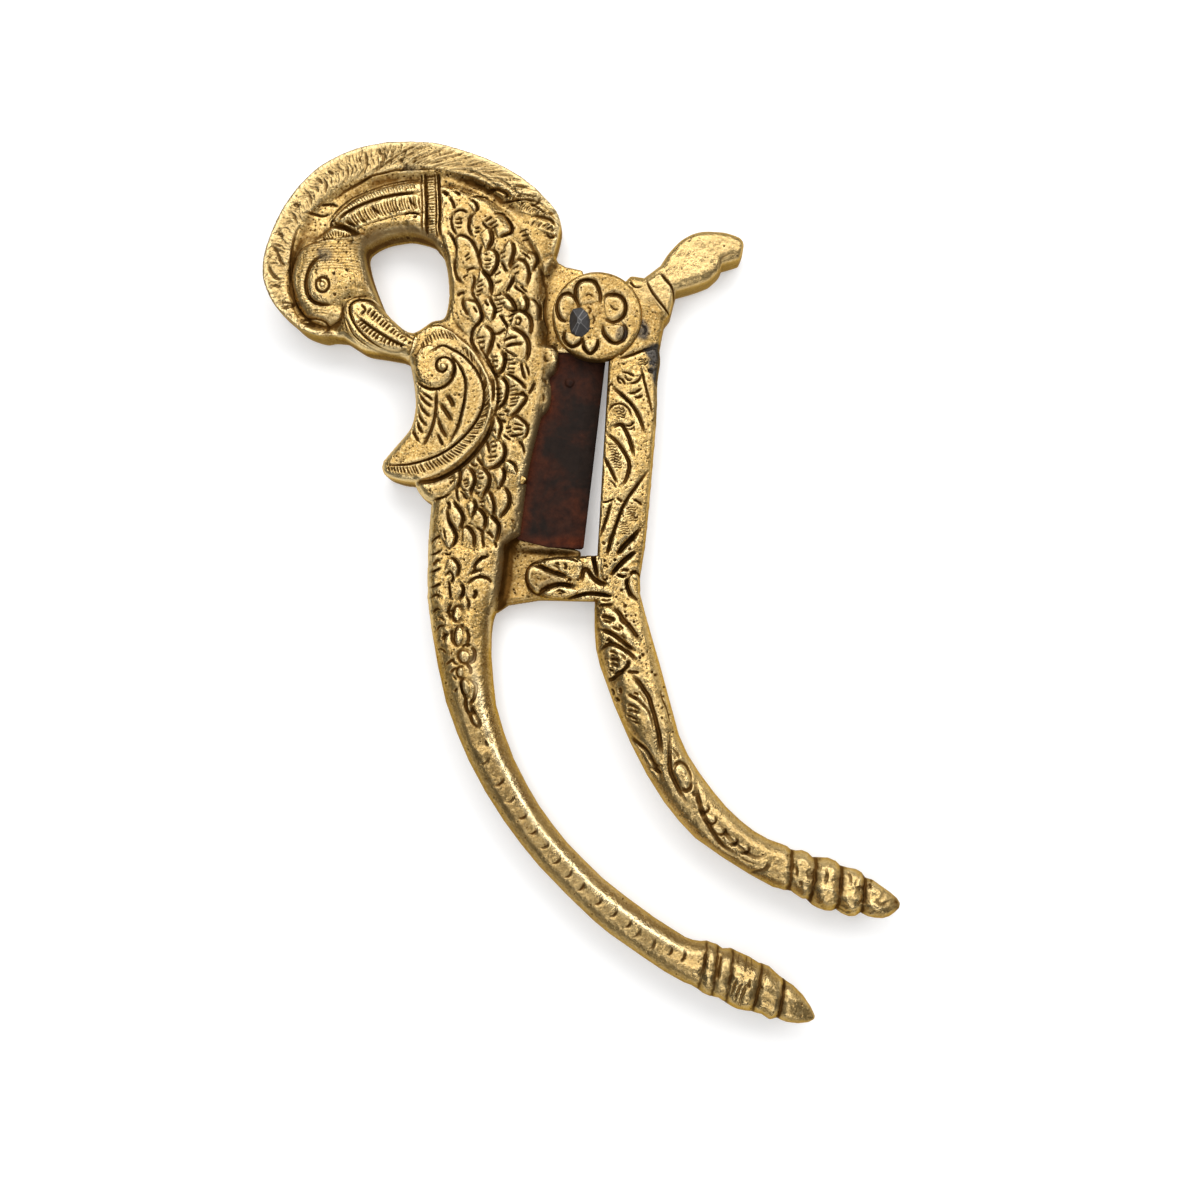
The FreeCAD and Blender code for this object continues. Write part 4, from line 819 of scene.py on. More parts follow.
def relief_scales(F):
    F.area(O((440, 185), (470, 190), (500, 205), (528, 240), (545, 290), (545, 340), (535, 400), (520, 460), (512, 520), (495, 545), (455, 545), (450, 500), (470, 470), (495, 420), (494, 380), (478, 345), (455, 325), (455, 280), (450, 240), (440, 220)), dz=-0.28, soft=0.8)
    S = [
        ([(470, 199), (475, 203), (477.5, 209), (475, 213)], 3.0), ([(503, 214), (508, 219), (511.5, 226), (511, 232), (504, 236), (498, 238)], 3.6), ([(455, 239), (460, 236), (466, 237.5), (471, 241), (475, 247), (478, 254), (480.5, 264), (481, 270)], 3.4),
        ([(481, 269), (485, 274), (489.5, 280), (491.5, 287), (490, 297)], 5.2), ([(489, 297), (492, 303), (495, 309), (494, 316), (491, 322)], 4.2), ([(489, 228), (491.5, 234), (492, 241), (489, 247), (486, 250)], 5.2),
        ([(489, 249.5), (494, 251), (497.5, 257), (497, 265), (494, 271), (490, 275), (484, 272)], 4.6), ([(500, 262), (503, 265), (505, 269), (507, 273)], 3.2), ([(510, 240), (513.5, 246), (513.5, 254), (511, 262), (508.5, 271)], 4.6),
        ([(514, 261), (520, 260), (525, 263), (528.5, 270), (529, 277), (526, 287)], 4.4), ([(529, 251), (534.5, 253), (537, 259), (535, 266), (531, 274)], 3.2), ([(513.5, 275), (512, 282), (508, 288), (504, 293)], 5.0),
        ([(523, 295), (527, 301), (527, 308), (522, 312)], 5.0), ([(502, 293), (508, 297), (513, 303), (515, 310), (508, 310)], 5.2), ([(529, 300), (535, 301), (539, 306), (539.5, 313), (538, 320)], 3.2),
        ([(514, 312), (521, 311), (527.5, 315), (531, 321), (531.5, 328), (529, 337)], 5.0), ([(466, 300), (471, 300.5), (477, 303), (481, 311), (482, 318), (478, 325)], 3.6), ([(473, 275), (474.5, 281), (473, 287), (472, 293)], 3.0),
        ([(483, 325), (488, 328), (492, 332), (493, 338), (491, 346), (488, 353), (484, 358)], 4.8), ([(500, 314), (503, 320), (506, 325), (506, 330)], 4.2), ([(508, 327), (514, 329), (521, 333), (526, 338), (528.5, 345), (528, 355), (524, 363)], 5.2),
        ([(500, 350), (504, 355), (505, 362), (503, 369), (499, 373), (494, 372)], 4.8), ([(504, 374), (511, 376), (517, 380), (522, 384), (527, 391)], 3.6), ([(519, 395), (525.5, 396), (526, 400), (522, 406), (516, 413), (509, 417)], 3.8),
        ([(498, 377), (504, 380), (507.5, 386), (507, 394), (505, 401), (500, 407), (494, 411)], 4.2), ([(495, 415), (499, 420), (501.5, 427), (500, 434), (498, 441)], 3.4), ([(510, 420), (516, 416.5), (523, 421), (528, 428), (526, 436), (521, 440)], 3.2),
        ([(500, 440), (504, 446), (505.5, 453), (503.5, 460), (500, 464), (494, 468), (485, 469)], 4.2), ([(505, 461), (510, 462), (515, 466), (517.5, 475)], 3.4), ([(501, 467), (504.5, 472), (504, 480), (499, 488)], 4.0),
        ([(502, 487), (507, 491), (509.5, 498), (508.5, 506), (504, 513), (498, 519)], 4.6), ([(480, 468), (485.5, 471), (489.5, 477), (489.5, 484), (486, 491), (481, 498)], 4.4), ([(487, 491), (491, 495), (493.5, 503), (494, 510), (492, 516)], 3.2),
        ([(466, 467), (471, 470), (474.5, 476), (474.5, 484), (471, 491), (470, 498)], 4.4), ([(458, 467), (460.5, 475), (459.5, 483), (456, 489)], 4.0), ([(472, 499), (475.5, 504), (475, 511), (471, 517)], 4.0),
        ([(475, 508), (480, 510), (484.5, 516), (485.5, 523), (483, 530)], 4.2), ([(489, 515.5), (494, 519), (498.5, 525), (498.5, 533), (495, 543)], 4.8), ([(447, 506), (448, 515), (450, 523), (454, 530), (456.5, 537), (454, 545), (449, 549)], 3.4),
        ([(452, 499), (456, 505), (460.5, 511), (463, 517), (462, 524), (458.5, 531)], 4.0), ([(463, 528), (468, 527.5), (472.5, 533), (474.5, 540), (473, 549)], 4.2), ([(449, 558), (454, 559.5), (458.5, 565), (459, 572), (456, 578)], 3.2),
    ]
    for arc, w in S:
        scale(F, arc, w * 1.05, -0.34 - 0.055 * w)
    L = [
        ([(475, 214), (470.5, 218), (469, 224), (469.5, 231), (473, 238)], 3.6), ([(453, 215), (458, 211), (463, 211), (468, 214)], 2.4), ([(452.5, 214), (451.5, 222), (453, 229), (457, 236)], 2.6), ([(448.5, 232), (452, 237), (455, 243), (456.5, 249), (456, 256)], 2.4),
        ([(455.5, 259), (454.5, 266), (455.5, 273), (458, 279), (462.5, 284)], 3.2), ([(472, 292), (474, 297), (478, 303)], 3.0), ([(482, 222), (486, 227), (490, 229)], 2.2), ([(482, 246), (480, 252), (478, 259)], 2.6), ([(494, 214), (500, 212.5), (505, 213.5)], 2.4),
        ([(521, 252), (527, 256), (531, 261)], 2.2), ([(514, 285), (517, 289), (522, 292), (525, 295)], 2.8), ([(520, 286), (524, 290), (527, 293)], 2.2), ([(539.5, 300), (541, 307), (540.5, 318)], 2.4), ([(457, 296), (461, 293.5), (465, 293)], 3.6),
        ([(463, 297), (463, 304), (465, 310), (469, 317)], 3.4), ([(474, 308), (478, 314)], 2.4), ([(485, 302), (489, 307)], 3.0), ([(479, 310), (482, 316), (480, 322), (475, 327), (472, 333), (471.5, 341), (475, 348), (481, 355)], 3.6),
        ([(492, 334), (499, 333.5), (506, 329)], 3.2), ([(503, 342), (510, 338.5), (518, 338)], 3.4), ([(503, 348), (512, 345), (524, 344.5)], 4.2), ([(497, 344), (500, 349)], 2.2), ([(504, 349), (509, 353), (515, 356)], 2.4), ([(505, 352), (507, 357)], 2.0),
        ([(515.5, 321), (518, 318.5), (521, 321), (519, 325), (516, 324.5), (515.5, 321)], 1.8), ([(508, 318), (512, 315), (517, 313)], 2.2), ([(509, 322), (512, 320)], 1.8), ([(485, 359), (489, 365), (493, 371), (499, 378)], 2.8),
        ([(521, 362), (522, 368), (523.5, 375), (526, 380)], 3.2), ([(525, 364), (528, 371), (529, 377)], 2.0), ([(534.5, 382), (532, 389), (528, 395)], 3.4), ([(493, 377), (493.5, 386), (493.5, 396), (492, 406)], 3.8), ([(519, 396), (523, 393), (526, 397)], 1.8),
        ([(513, 424), (518, 425), (525, 427)], 2.0), ([(513, 430), (518, 429.5), (523, 431)], 2.6), ([(509, 436), (516, 436), (525, 434)], 3.2), ([(503, 435), (507, 438), (511, 441)], 2.4), ([(491, 431), (495, 431), (496, 435)], 1.8), ([(518, 440), (523, 447), (525, 456)], 2.6),
        ([(486, 440), (488.5, 447), (490, 455)], 2.8), ([(476, 457), (480, 462), (483, 467)], 2.4), ([(470, 462), (474, 466), (478, 465)], 2.2), ([(457, 489), (457, 496), (458.5, 502)], 2.4), ([(483, 530), (482.5, 538), (484, 548)], 2.6), ([(476, 528), (480, 529.5), (483, 533)], 2.2),
        ([(486, 532), (490, 534), (494, 539)], 3.0), ([(495, 542), (497, 548)], 2.0), ([(447, 502), (449.5, 505), (449, 510)], 3.4), ([(475, 573), (475, 566), (479.5, 560), (488, 556)], 3.2), ([(467, 585), (472, 580), (477, 577.5), (484, 577), (489, 579.5), (493, 584)], 3.4),
        ([(460, 583), (463.5, 588), (463, 594), (459, 600)], 4.4), ([(449, 580), (450, 590), (451, 601)], 2.4), ([(446, 576), (450, 572), (453.5, 577), (451, 584)], 2.4), ([(444, 529), (446, 541)], 1.8), ([(430, 544), (435, 539), (441, 535.5)], 2.8),
        ([(430, 555), (436, 553.5), (441.5, 550)], 2.6), ([(430, 572.5), (435, 571), (441, 568)], 2.8), ([(430, 587.5), (436, 586), (441, 583)], 2.8), ([(474, 590), (476, 594), (473, 599)], 4.0), ([(444, 553), (449, 555), (452, 552)], 1.6),
        ([(441, 190.5), (445, 192.5), (448.5, 196)], 4.4), ([(449, 197), (453, 203), (455, 210)], 3.2), ([(471, 196.5), (480, 195.5), (488, 197.5)], 2.0), ([(454, 191), (458, 193), (460, 196)], 3.0),
    ]
    for p, w in L:
        F.stroke(p, w, -0.28 - 0.06 * w, taper=0.35)
    TICKS = [
        (455, 220, 463, 219, 2.2), (455, 223.5, 463, 222.5, 2.8), (456.5, 228, 461.5, 228, 1.8), (475, 229.5, 480, 228, 2.0), (475, 233.5, 480, 231.5, 2.4), (485, 222.5, 493, 217.5, 2.4), (488, 226.5, 497, 221, 2.6), (491, 229, 498, 225.5, 3.2),
        (484, 261, 492, 261, 2.0), (484, 265.5, 492, 264.5, 2.2), (484.5, 268.5, 491, 268.5, 1.8), (485, 254, 488, 256, 1.8), (500, 254, 505.5, 252, 2.2), (500.5, 258.5, 506, 257, 2.2), (511, 266, 517, 262.5, 2.0), (511.5, 270, 519, 267, 2.0), (514, 275, 519, 272.5, 2.0),
        (494, 276, 501, 272.5, 1.8), (494, 283.5, 502, 281, 2.0), (493, 297, 503, 294, 2.2), (493, 301, 505, 298.5, 2.6), (495.5, 305.5, 506, 303.5, 2.4), (496, 309, 503, 307.5, 1.8), (494, 313, 503, 310, 2.0), (477, 283, 483, 281, 1.8), (477, 288, 484, 285.5, 2.0), (476, 293, 483, 290, 2.2), (476, 296, 481, 294.5, 1.8),
        (475, 338.5, 485, 338, 2.2), (477, 343.5, 485.5, 342, 3.0), (480.5, 348.5, 485, 347.5, 3.2), (490, 357, 497.5, 357, 2.0), (491, 361.5, 498.5, 361.5, 2.4), (491, 367, 498.5, 367, 2.2), (506, 359.5, 513.5, 360, 2.2), (506, 364, 516.5, 364, 3.0), (506, 368.5, 515.5, 369, 2.0), (508, 372, 515, 373, 2.4),
        (510, 356, 518, 357, 1.8), (495, 390, 502, 389.5, 1.8), (496, 394.5, 503, 394, 2.0), (497, 398.5, 503.5, 398, 2.0), (497, 403, 502, 402, 1.6), (509, 388, 516, 386, 1.8), (509, 391.5, 518, 390.5, 2.0), (509, 395.5, 520, 394, 2.0), (510, 399.5, 520, 398.5, 2.2), (509, 403, 519, 402, 2.0), (509, 406.5, 517, 405, 1.8),
        (504, 411.5, 510, 412, 2.6), (498, 415, 505, 415.5, 2.2), (501, 420, 506, 422.5, 2.8), (506, 429, 511.5, 428, 2.4), (507, 433.5, 512, 431.5, 2.4), (490, 443.5, 494.5, 442, 1.8), (490, 447.5, 498, 446.5, 2.6), (491, 453, 496, 452, 2.0), (488, 458, 498, 457, 2.6), (489, 462, 495, 461.5, 1.8),
        (477, 488, 481, 488.5, 2.0), (475, 493.5, 481, 493, 2.2), (479, 502.5, 484.5, 501, 2.2), (480, 506, 484, 507, 1.6), (463, 481.5, 467.5, 479.5, 2.0), (464, 484.5, 468.5, 483.5, 2.0), (465, 487.5, 469, 486, 2.0), (461, 491.5, 466, 496.5, 1.8), (463, 495.5, 468, 499.5, 1.8), (462, 490, 469, 492, 1.6),
        (477, 475, 484, 474, 1.8), (478, 479, 485, 478.5, 1.8), (465, 258.5, 469.5, 254.5, 1.4), (466, 262, 470.5, 258.5, 1.4), (466, 271, 475, 268.5, 2.4), (463, 279, 468, 275.5, 1.4), (449, 479, 453, 476, 1.8), (450, 483, 454, 481, 1.8), (521, 230, 528, 228, 1.6), (521, 235, 529, 233, 1.6), (522, 240, 528, 238, 1.6),
    ]
    for x1, y1, x2, y2, w in TICKS:
        F.stroke([(x1, y1), ((x1 + x2) / 2, (y1 + y2) / 2 + 0.4 * rng.uniform(-1, 1)), (x2, y2)], w * 1.05, -0.3, taper=0.28, n=3, dirt=0.45)
    # feathered tail of the crest and the dark hollow under it
    F.stroke([(447, 175), (460, 178), (475, 183), (488, 189), (500, 199), (512, 206), (521, 215), (531, 223)], 11, -0.3, taper=0.3, dirt=0.75)
    F.stroke([(486, 191.5), (494, 188.5), (501, 190), (507, 194), (502, 197)], 4.5, -0.42, taper=0.3, dirt=0.9)
    F.stroke([(520, 228), (527, 238), (536, 252), (541, 270), (542, 290)], 7, -0.2, taper=0.3, dirt=0.3)
    for p, w in (([(530, 213.5), (540, 215.5), (550, 219), (558, 227)], 3.4), ([(511, 190), (516, 187), (526, 188.5)], 2.4), ([(500, 201), (512, 200), (530, 200), (545, 206)], 2.2), ([(541, 199), (536, 204), (530, 205)], 2.4), ([(545, 232), (550, 236), (556, 235)], 2.6)):
        F.stroke(p, w, -0.35, taper=0.35)
    # three overlapping plumes, each with slanting barbs
    for ring, frm, to in (
            (O((508, 199), (516, 191), (528, 188.5), (539, 193), (541, 198.5), (530, 201), (518, 202)), (508, 200), (541, 196)),
            (O((514, 207), (524, 202.5), (538, 204), (548, 211), (553, 219), (540, 216.5), (526, 213)), (514, 208), (552, 218)),
            (O((526, 219), (538, 218), (550, 222), (558, 229), (556, 235), (545, 231), (533, 226)), (526, 220), (557, 232))):
        F.leaf(ring, 0.40, 0.8, frm, to, base=0.2)
    for (x0, y0, x1, y1), n in (((511, 200, 538, 198), 11), ((517, 209, 549, 216), 14), ((531, 224.5, 556, 233), 15)):
        for i in range(n):
            s = (i + 0.5 + 0.35 * rng.uniform(-1, 1)) / n
            x, y = x0 + (x1 - x0) * s, y0 + (y1 - y0) * s
            a = math.radians(-62 + 34 * s + 5 * rng.uniform(-1, 1))
            q = rng.uniform(5.5, 9.5) * (1 - 0.3 * s)
            F.stroke([(x, y), (x + 0.5 * q * math.cos(a), y + 0.6 * q * math.sin(a)), (x + q * math.cos(a) + 1.0, y + q * math.sin(a))], 1.3 * rng.uniform(0.8, 1.4), -0.2 * rng.uniform(0.7, 1.3), taper=0.3, n=3, dirt=0.34)
    # ragged casting edge beside the blade
    for _ in range(26):
        s = rng.uniform(0, 1)
        x, y = np.interp(s, (0, 0.2, 0.4, 0.7, 1), (545, 548, 541, 529, 515)), 350 + 178 * s
        F.stroke([(x + rng.uniform(-7, 3), y), (x + rng.uniform(-3, 3), y + rng.uniform(2, 5)), (x + rng.uniform(-5, 4), y + rng.uniform(5, 10))], rng.uniform(2.0, 3.6), -0.24, taper=0.3, n=3, dirt=0.5)

# soft volumes of the casting
ins = bs > 0
bird.top[ins] -= (bend(bs, 2.2, 2.0) - bend(np.maximum(bird.sd, 0), 2.2, 2.0))[ins]
# the ear runs into the neck without a hard step
w = bird.window(np.array([[-9.5, 45.5], [-2.0, 66.0]]), 0)
soft = bird.blur(bird.top, 0.8)
wx = sstep(-9.6, -8.0, bird.x[w[1]][None, :]) * sstep(-2.0, -3.4, bird.x[w[1]][None, :]) * sstep(45.4, 46.8, bird.y[w[0]][:, None]) * sstep(66.0, 64.0, bird.y[w[0]][:, None])
bird.top[w] += (soft[w] - bird.top[w]) * wx
# so does the lower leg into the cross plate
w = bird.window(np.array([[-18.6, -10.0], [-10.0, 8.0]]), 0)
soft = bird.blur(bird.top, 0.5)
wx = sstep(-18.4, -17.4, bird.x[w[1]][None, :]) * sstep(-10.2, -12.0, bird.x[w[1]][None, :]) * sstep(-10.0, -8.6, bird.y[w[0]][:, None]) * sstep(8.4, 6.4, bird.y[w[0]][:, None])
bird.top[w] += (soft[w] - bird.top[w]) * wx
bird.zref = 8.3


def crest(p):
    return A(*p)


def U(F, T, cx, cy, a, b, rot=0, t0=-85, t1=125, w=13.0, h=-0.42, ticks=0, lift=0.30, tl=None, k=4.48, r=1.1, tw=8.5, th=-0.27, slant=0):
    """One scale of the plumage: a raised pad, a crescent cut and short ribs."""
    ca, sa = math.cos(math.radians(rot)), math.sin(math.radians(rot))

    def place(x, y):
        return (cx + ca * x - sa * y, cy + sa * x + ca * y)
    ring = [place(a * 1.05 * math.cos(t), b * 1.05 * math.sin(t)) for t in np.linspace(0, 2 * np.pi, 12, endpoint=False)]
    mid = math.radians((t0 + t1) / 2)
    if lift:
        F.leaf(T(*ring), lift * 1.9, 0.75, T(place(-0.8 * a * math.cos(mid), -0.8 * b * math.sin(mid)))[0], T(place(0.75 * a * math.cos(mid), 0.75 * b * math.sin(mid)))[0])
    arc = [place(a * math.cos(math.radians(t)), b * math.sin(math.radians(t))) for t in np.linspace(t0, t1, 9)]
    F.stroke(T(*arc), w / k, h, taper=0.42, n=4)
    for i in range(ticks):
        f = (i + 0.6) / (ticks + 0.2) * 2 - 1
        f += 0.08 * rng.uniform(-1, 1)
        hw = 0.62 * a * math.sqrt(max(1 - f * f * 0.8, 0.05)) * (1 + 0.12 * rng.uniform(-1, 1))
        y = f * b * 0.86
        sl = math.tan(math.radians(slant)) * hw
        F.stroke(T(place(-hw * 0.95, y - sl), place(0, y + 0.06 * b), place(hw * 0.75, y + sl)), tw / k, th * (1 + 0.25 * rng.uniform(-1, 1)), taper=0.3, n=3, dirt=0.35)


def spread(F, T, a, b, n, w, h, k, swing=0.0, bow=0.0, j=0.25, cut=(0.0, 1.0), **kw):
    """n cuts from points along line a to points along line b."""
    A1, B1 = np.array(smooth(a, False, 10)), np.array(smooth(b, False, 10))
    da = np.r_[0, np.cumsum(np.hypot(*np.diff(A1, axis=0).T))]; da /= da[-1]
    db = np.r_[0, np.cumsum(np.hypot(*np.diff(B1, axis=0).T))]; db /= db[-1]
    for i in range(n):
        s = (i + 0.5 + j * rng.uniform(-1, 1)) / n
        e = s + swing
        p = np.array([np.interp(s, da, A1[:, 0]), np.interp(s, da, A1[:, 1])])
        q = np.array([np.interp(e, db, B1[:, 0]), np.interp(e, db, B1[:, 1])])
        c0 = cut[0] + 0.10 * rng.uniform(0, 1); c1 = cut[1] - 0.14 * rng.uniform(0, 1)
        p2, q2 = p + (q - p) * c0, p + (q - p) * c1
        m = (p2 + q2) / 2 + bow * np.array([-(q2 - p2)[1], (q2 - p2)[0]])
        F.stroke(T(tuple(p2), tuple(m), tuple(q2)), w / k * (1 + 0.25 * rng.uniform(-1, 1)), h * (1 + 0.3 * rng.uniform(-1, 1)), taper=0.3, n=4, **kw)


def line_of(p):
    return [tuple(v) for v in p]


K = 4.48
BAND_IN = [(380, 905), (262, 872), (200, 808), (168, 690), (182, 590), (200, 520), (250, 405), (310, 335), (400, 265), (480, 228), (600, 203), (760, 187), (900, 192), (1000, 217), (1090, 262), (1180, 300), (1290, 345)]
BAND_OUT = [(330, 938), (200, 890), (110, 780), (75, 650), (100, 510), (160, 400), (250, 270), (370, 165), (500, 105), (640, 76), (800, 74), (950, 105), (1090, 165), (1200, 225), (1290, 290), (1340, 330), (1395, 430)]

# channel between the crest and the head, neck and back
w, m = bird.area(A(*BAND_IN, (1370, 470), (1330, 620), (1250, 560), (1180, 480), (1080, 330), (960, 280), (860, 250), (760, 232), (600, 250), (470, 305), (370, 400), (330, 480), (230, 510), (190, 620), (190, 700), (230, 800), (300, 860), (400, 860)), z=7.75, soft=1.1)
bird.dome(A(*BAND_IN[:1], *BAND_IN[1:], (1340, 330), (1420, 440), (1450, 300), (1200, 120), (950, 40), (700, 20), (480, 60), (250, 180), (100, 350), (20, 600), (40, 800), (180, 980), (400, 1000)), 0.35, 2.6)

# back and breast swell gently towards their middle line
for ring, dz, r in (
        (A((850, 250), (1000, 270), (1150, 370), (1260, 520), (1320, 700), (1330, 900), (1300, 1200), (1240, 1568), (1000, 1568), (1060, 1300), (1080, 1100), (1000, 950), (910, 840), (900, 660), (860, 480), (840, 380)), 0.55, 4.5),
        (B_((620, 500), (720, 600), (740, 760), (730, 950), (680, 1090), (650, 1250), (600, 1380), (420, 1420), (310, 1400), (300, 1100), (330, 900), (420, 780), (540, 640)), 0.45, 4.5)):
    bird.dome(ring, dz, r)

# head
HEAD = [(200, 600), (232, 540), (290, 508), (400, 488), (500, 474), (530, 500), (552, 600), (572, 690), (570, 748), (480, 752), (425, 790), (404, 850), (340, 880), (262, 846), (206, 770), (186, 680)]
bird.dome(A(*HEAD), 1.45, 5.2)
# neck
bird.dome(A((362, 412), (470, 312), (600, 258), (770, 232), (786, 300), (792, 470), (800, 500), (700, 470), (560, 476), (515, 500), (470, 478), (420, 440)), 1.15, 4.2)
# beak
BEAK = [(418, 800), (432, 768), (480, 752), (560, 752), (610, 800), (680, 870), (752, 932), (735, 1000), (700, 1018), (600, 1012), (520, 982), (450, 920), (425, 860)]
bird.dome(A(*BEAK), 0.75, 2.6)

# fine engraving of the head above and behind the eye
for i in range(26):
    y = 505 + i * 13.0
    x0 = 205 + 30 * math.exp(-((y - 500) / 40) ** 2) + 0.0006 * (y - 690) ** 2
    x1 = 262 + 4 * rng.uniform(-1, 1) if y > 640 else 525 + (y - 500) * 0.22
    if y > 760:
        x0, x1 = 215 + (y - 760) * 0.6, 330 + (y - 760) * 0.5
    bird.stroke(A((x0 + 6, y + 10), ((x0 + x1) / 2, y - 2), (x1, y + 6)), 7.0 / K, -0.075, taper=0.15, n=3, dirt=0.3)
for i in range(9):
    x = 470 + i * 11
    bird.stroke(A((x - 14, 560 + i * 6), (x + 2, 650), (x + 10, 742)), 6.5 / K, -0.06, taper=0.2, n=3, dirt=0.25)
bird.dome([(312, 272), (320, 264), (334, 262), (346, 268), (352, 282), (350, 298), (340, 306), (326, 306), (314, 300), (309, 286)], 0.42, 3.0)
bird.stroke([(326, 257), (318, 261), (312, 268), (308.4, 278), (307.4, 288), (309.4, 297), (315, 303.4), (324, 306.6), (334, 306)], 4.4, -0.62, taper=0.3, dirt=0.85)
bird.ring((324.6, 287.4), 6.6, 2.8, -0.36, ry=7.4, dirt=0.75)
bird.ring((324.6, 287.4), 2.8, 1.6, -0.2, dirt=0.6)
bird.pit(*bird.pts([(322, 283.6), (322, 283.6)])[0], 0.4, 0.35)
bird.dome([(324.6 + 3.4 * math.cos(t), 288 + 3.6 * math.sin(t)) for t in np.linspace(0, 2 * np.pi, 8, endpoint=False)], 0.2, 0.5)
for x, y, r in ((336, 276.4, 0.34), (336.6, 297, 0.38), (348, 272, 0.2), (348, 290, 0.22), (346, 300, 0.2), (318, 273, 0.2), (340, 264, 0.18), (352, 284, 0.18), (331, 270, 0.16)):
    bird.pit(*bird.pts([(x, y), (x, y)])[0], r, 0.3)

# brow strip
bird.dome(A((298, 505), (318, 470), (372, 440), (430, 448), (486, 480), (492, 500), (400, 506)), 0.32, 0.8)
bird.stroke(A((356, 432), (400, 438), (440, 452), (484, 484)), 12.0 / K, -0.42)
bird.stroke(A((292, 508), (340, 492), (400, 498), (470, 496)), 8.0 / K, -0.22)
bird.ticks(A((325, 490), (380, 468), (450, 478)), 11, 26 / K, w=7 / K, h=-0.22, slant=80)
bird.stroke(A((360, 432), (366, 406), (384, 418)), 14.0 / K, -0.4, taper=0)

# neck: double line, deep cut, ribs
bird.stroke(A((366, 404), (420, 350), (480, 308), (600, 262), (690, 240), (765, 232)), 8.0 / K, -0.25, taper=0.1)
bird.stroke(A((352, 398), (410, 335), (475, 293), (600, 246), (690, 226), (765, 218)), 7.0 / K, -0.16, taper=0.1)
bird.stroke(A((385, 420), (430, 380), (500, 342), (600, 308), (690, 293), (752, 290)), 21.0 / K, -0.72, taper=0.18, dirt=0.95)
bird.stroke([(331, 224), (340, 225.6), (350, 229.6), (360, 237)], 5.2, -0.6, taper=0.3, dirt=0.95)
bird.stroke([(345, 222), (351, 225), (357, 227.6)], 4.4, -0.5, taper=0.3, dirt=0.9)
bird.stroke([(405, 217), (412, 214.6), (421, 215.6)], 3.4, -0.42, taper=0.3, dirt=0.9)
bird.pit(*bird.pts([(416, 218.6), (416, 218.6)])[0], 0.42, 0.4)
bird.stroke([(372, 208), (376, 212), (381, 215)], 3.6, -0.4, taper=0.3, dirt=0.9)
bird.stroke([(409, 199), (412, 204), (416, 207)], 2.4, -0.3, taper=0.3, dirt=0.9)
bird.ticks(A((430, 358), (500, 318), (600, 282), (740, 256)), 26, 36 / K, w=8 / K, h=-0.17, slant=78, dirt=0.3)
spread(bird, A, [(425, 400), (500, 362), (600, 326), (700, 306), (765, 304)], [(470, 452), (530, 428), (600, 402), (700, 380), (775, 372)], 27, 8.5, -0.24, K, swing=0.0, bow=0.06, dirt=0.4)
bird.stroke(A((460, 462), (530, 432), (610, 406), (700, 386), (775, 378)), 8.0 / K, -0.18, taper=0.1, dirt=0.3)

# collar
for x, wd, dp in ((773, 9, -0.3), (790, 13, -0.45), (833, 9, -0.3), (848, 17, -0.5)):
    bird.stroke(A((x - 8, 192), (x - 2, 260), (x + 2, 360), (x, 430), (x + 4, 474)), wd / K, dp, taper=0.05)
bird.ticks(A((806, 200), (812, 300), (814, 400), (815, 466)), 21, 36 / K, w=8 / K, h=-0.25, slant=88)
bird.area(A((796, 205), (830, 205), (834, 330), (832, 465), (800, 460), (798, 330)), dz=0.15, soft=0.25, curved=False)

# beak: raised oval with two ribbed rows
bird.dome(A((455, 790), (490, 770), (560, 790), (640, 860), (712, 950), (722, 985), (690, 996), (600, 985), (530, 945), (470, 870)), 0.32, 1.2)
bird.stroke(A((716, 985), (640, 992), (560, 962), (490, 900), (452, 830), (456, 785), (500, 764), (570, 782), (640, 842), (700, 915), (745, 950)), 10.0 / K, -0.38, taper=0.1)
bird.stroke(A((480, 838), (540, 885), (600, 925), (660, 958), (716, 980)), 13.0 / K, -0.42, taper=0.2)
bird.stroke(A((430, 850), (470, 925), (540, 975), (620, 1000), (700, 1008)), 9.0 / K, -0.3, taper=0.15)
spread(bird, A, [(470, 866), (520, 920), (600, 965), (690, 985)], [(500, 850), (560, 895), (620, 934), (690, 966)], 13, 10, -0.3, K)
spread(bird, A, [(520, 830), (580, 880), (640, 925), (716, 968)], [(545, 795), (610, 850), (660, 895), (730, 955)], 13, 10, -0.3, K)
bird.stroke(A((500, 785), (520, 812), (500, 838)), 9.0 / K, -0.3)

# the crest keeps a crisp outer edge
k = bird.pts(A(*BAND_IN, (1480, 420), (1500, 200), (1100, 0), (700, -60), (300, 40), (-40, 350), (-60, 800), (150, 1060), (420, 960)), True, 6)
w, q_ = bird.signed(k, 2.0)
f = sstep(0.0, 1.2, q_)
bird.er[w] += (0.55 - bird.er[w]) * f
bird.eh[w] += (0.45 - bird.eh[w]) * f
CREST = (w, f)

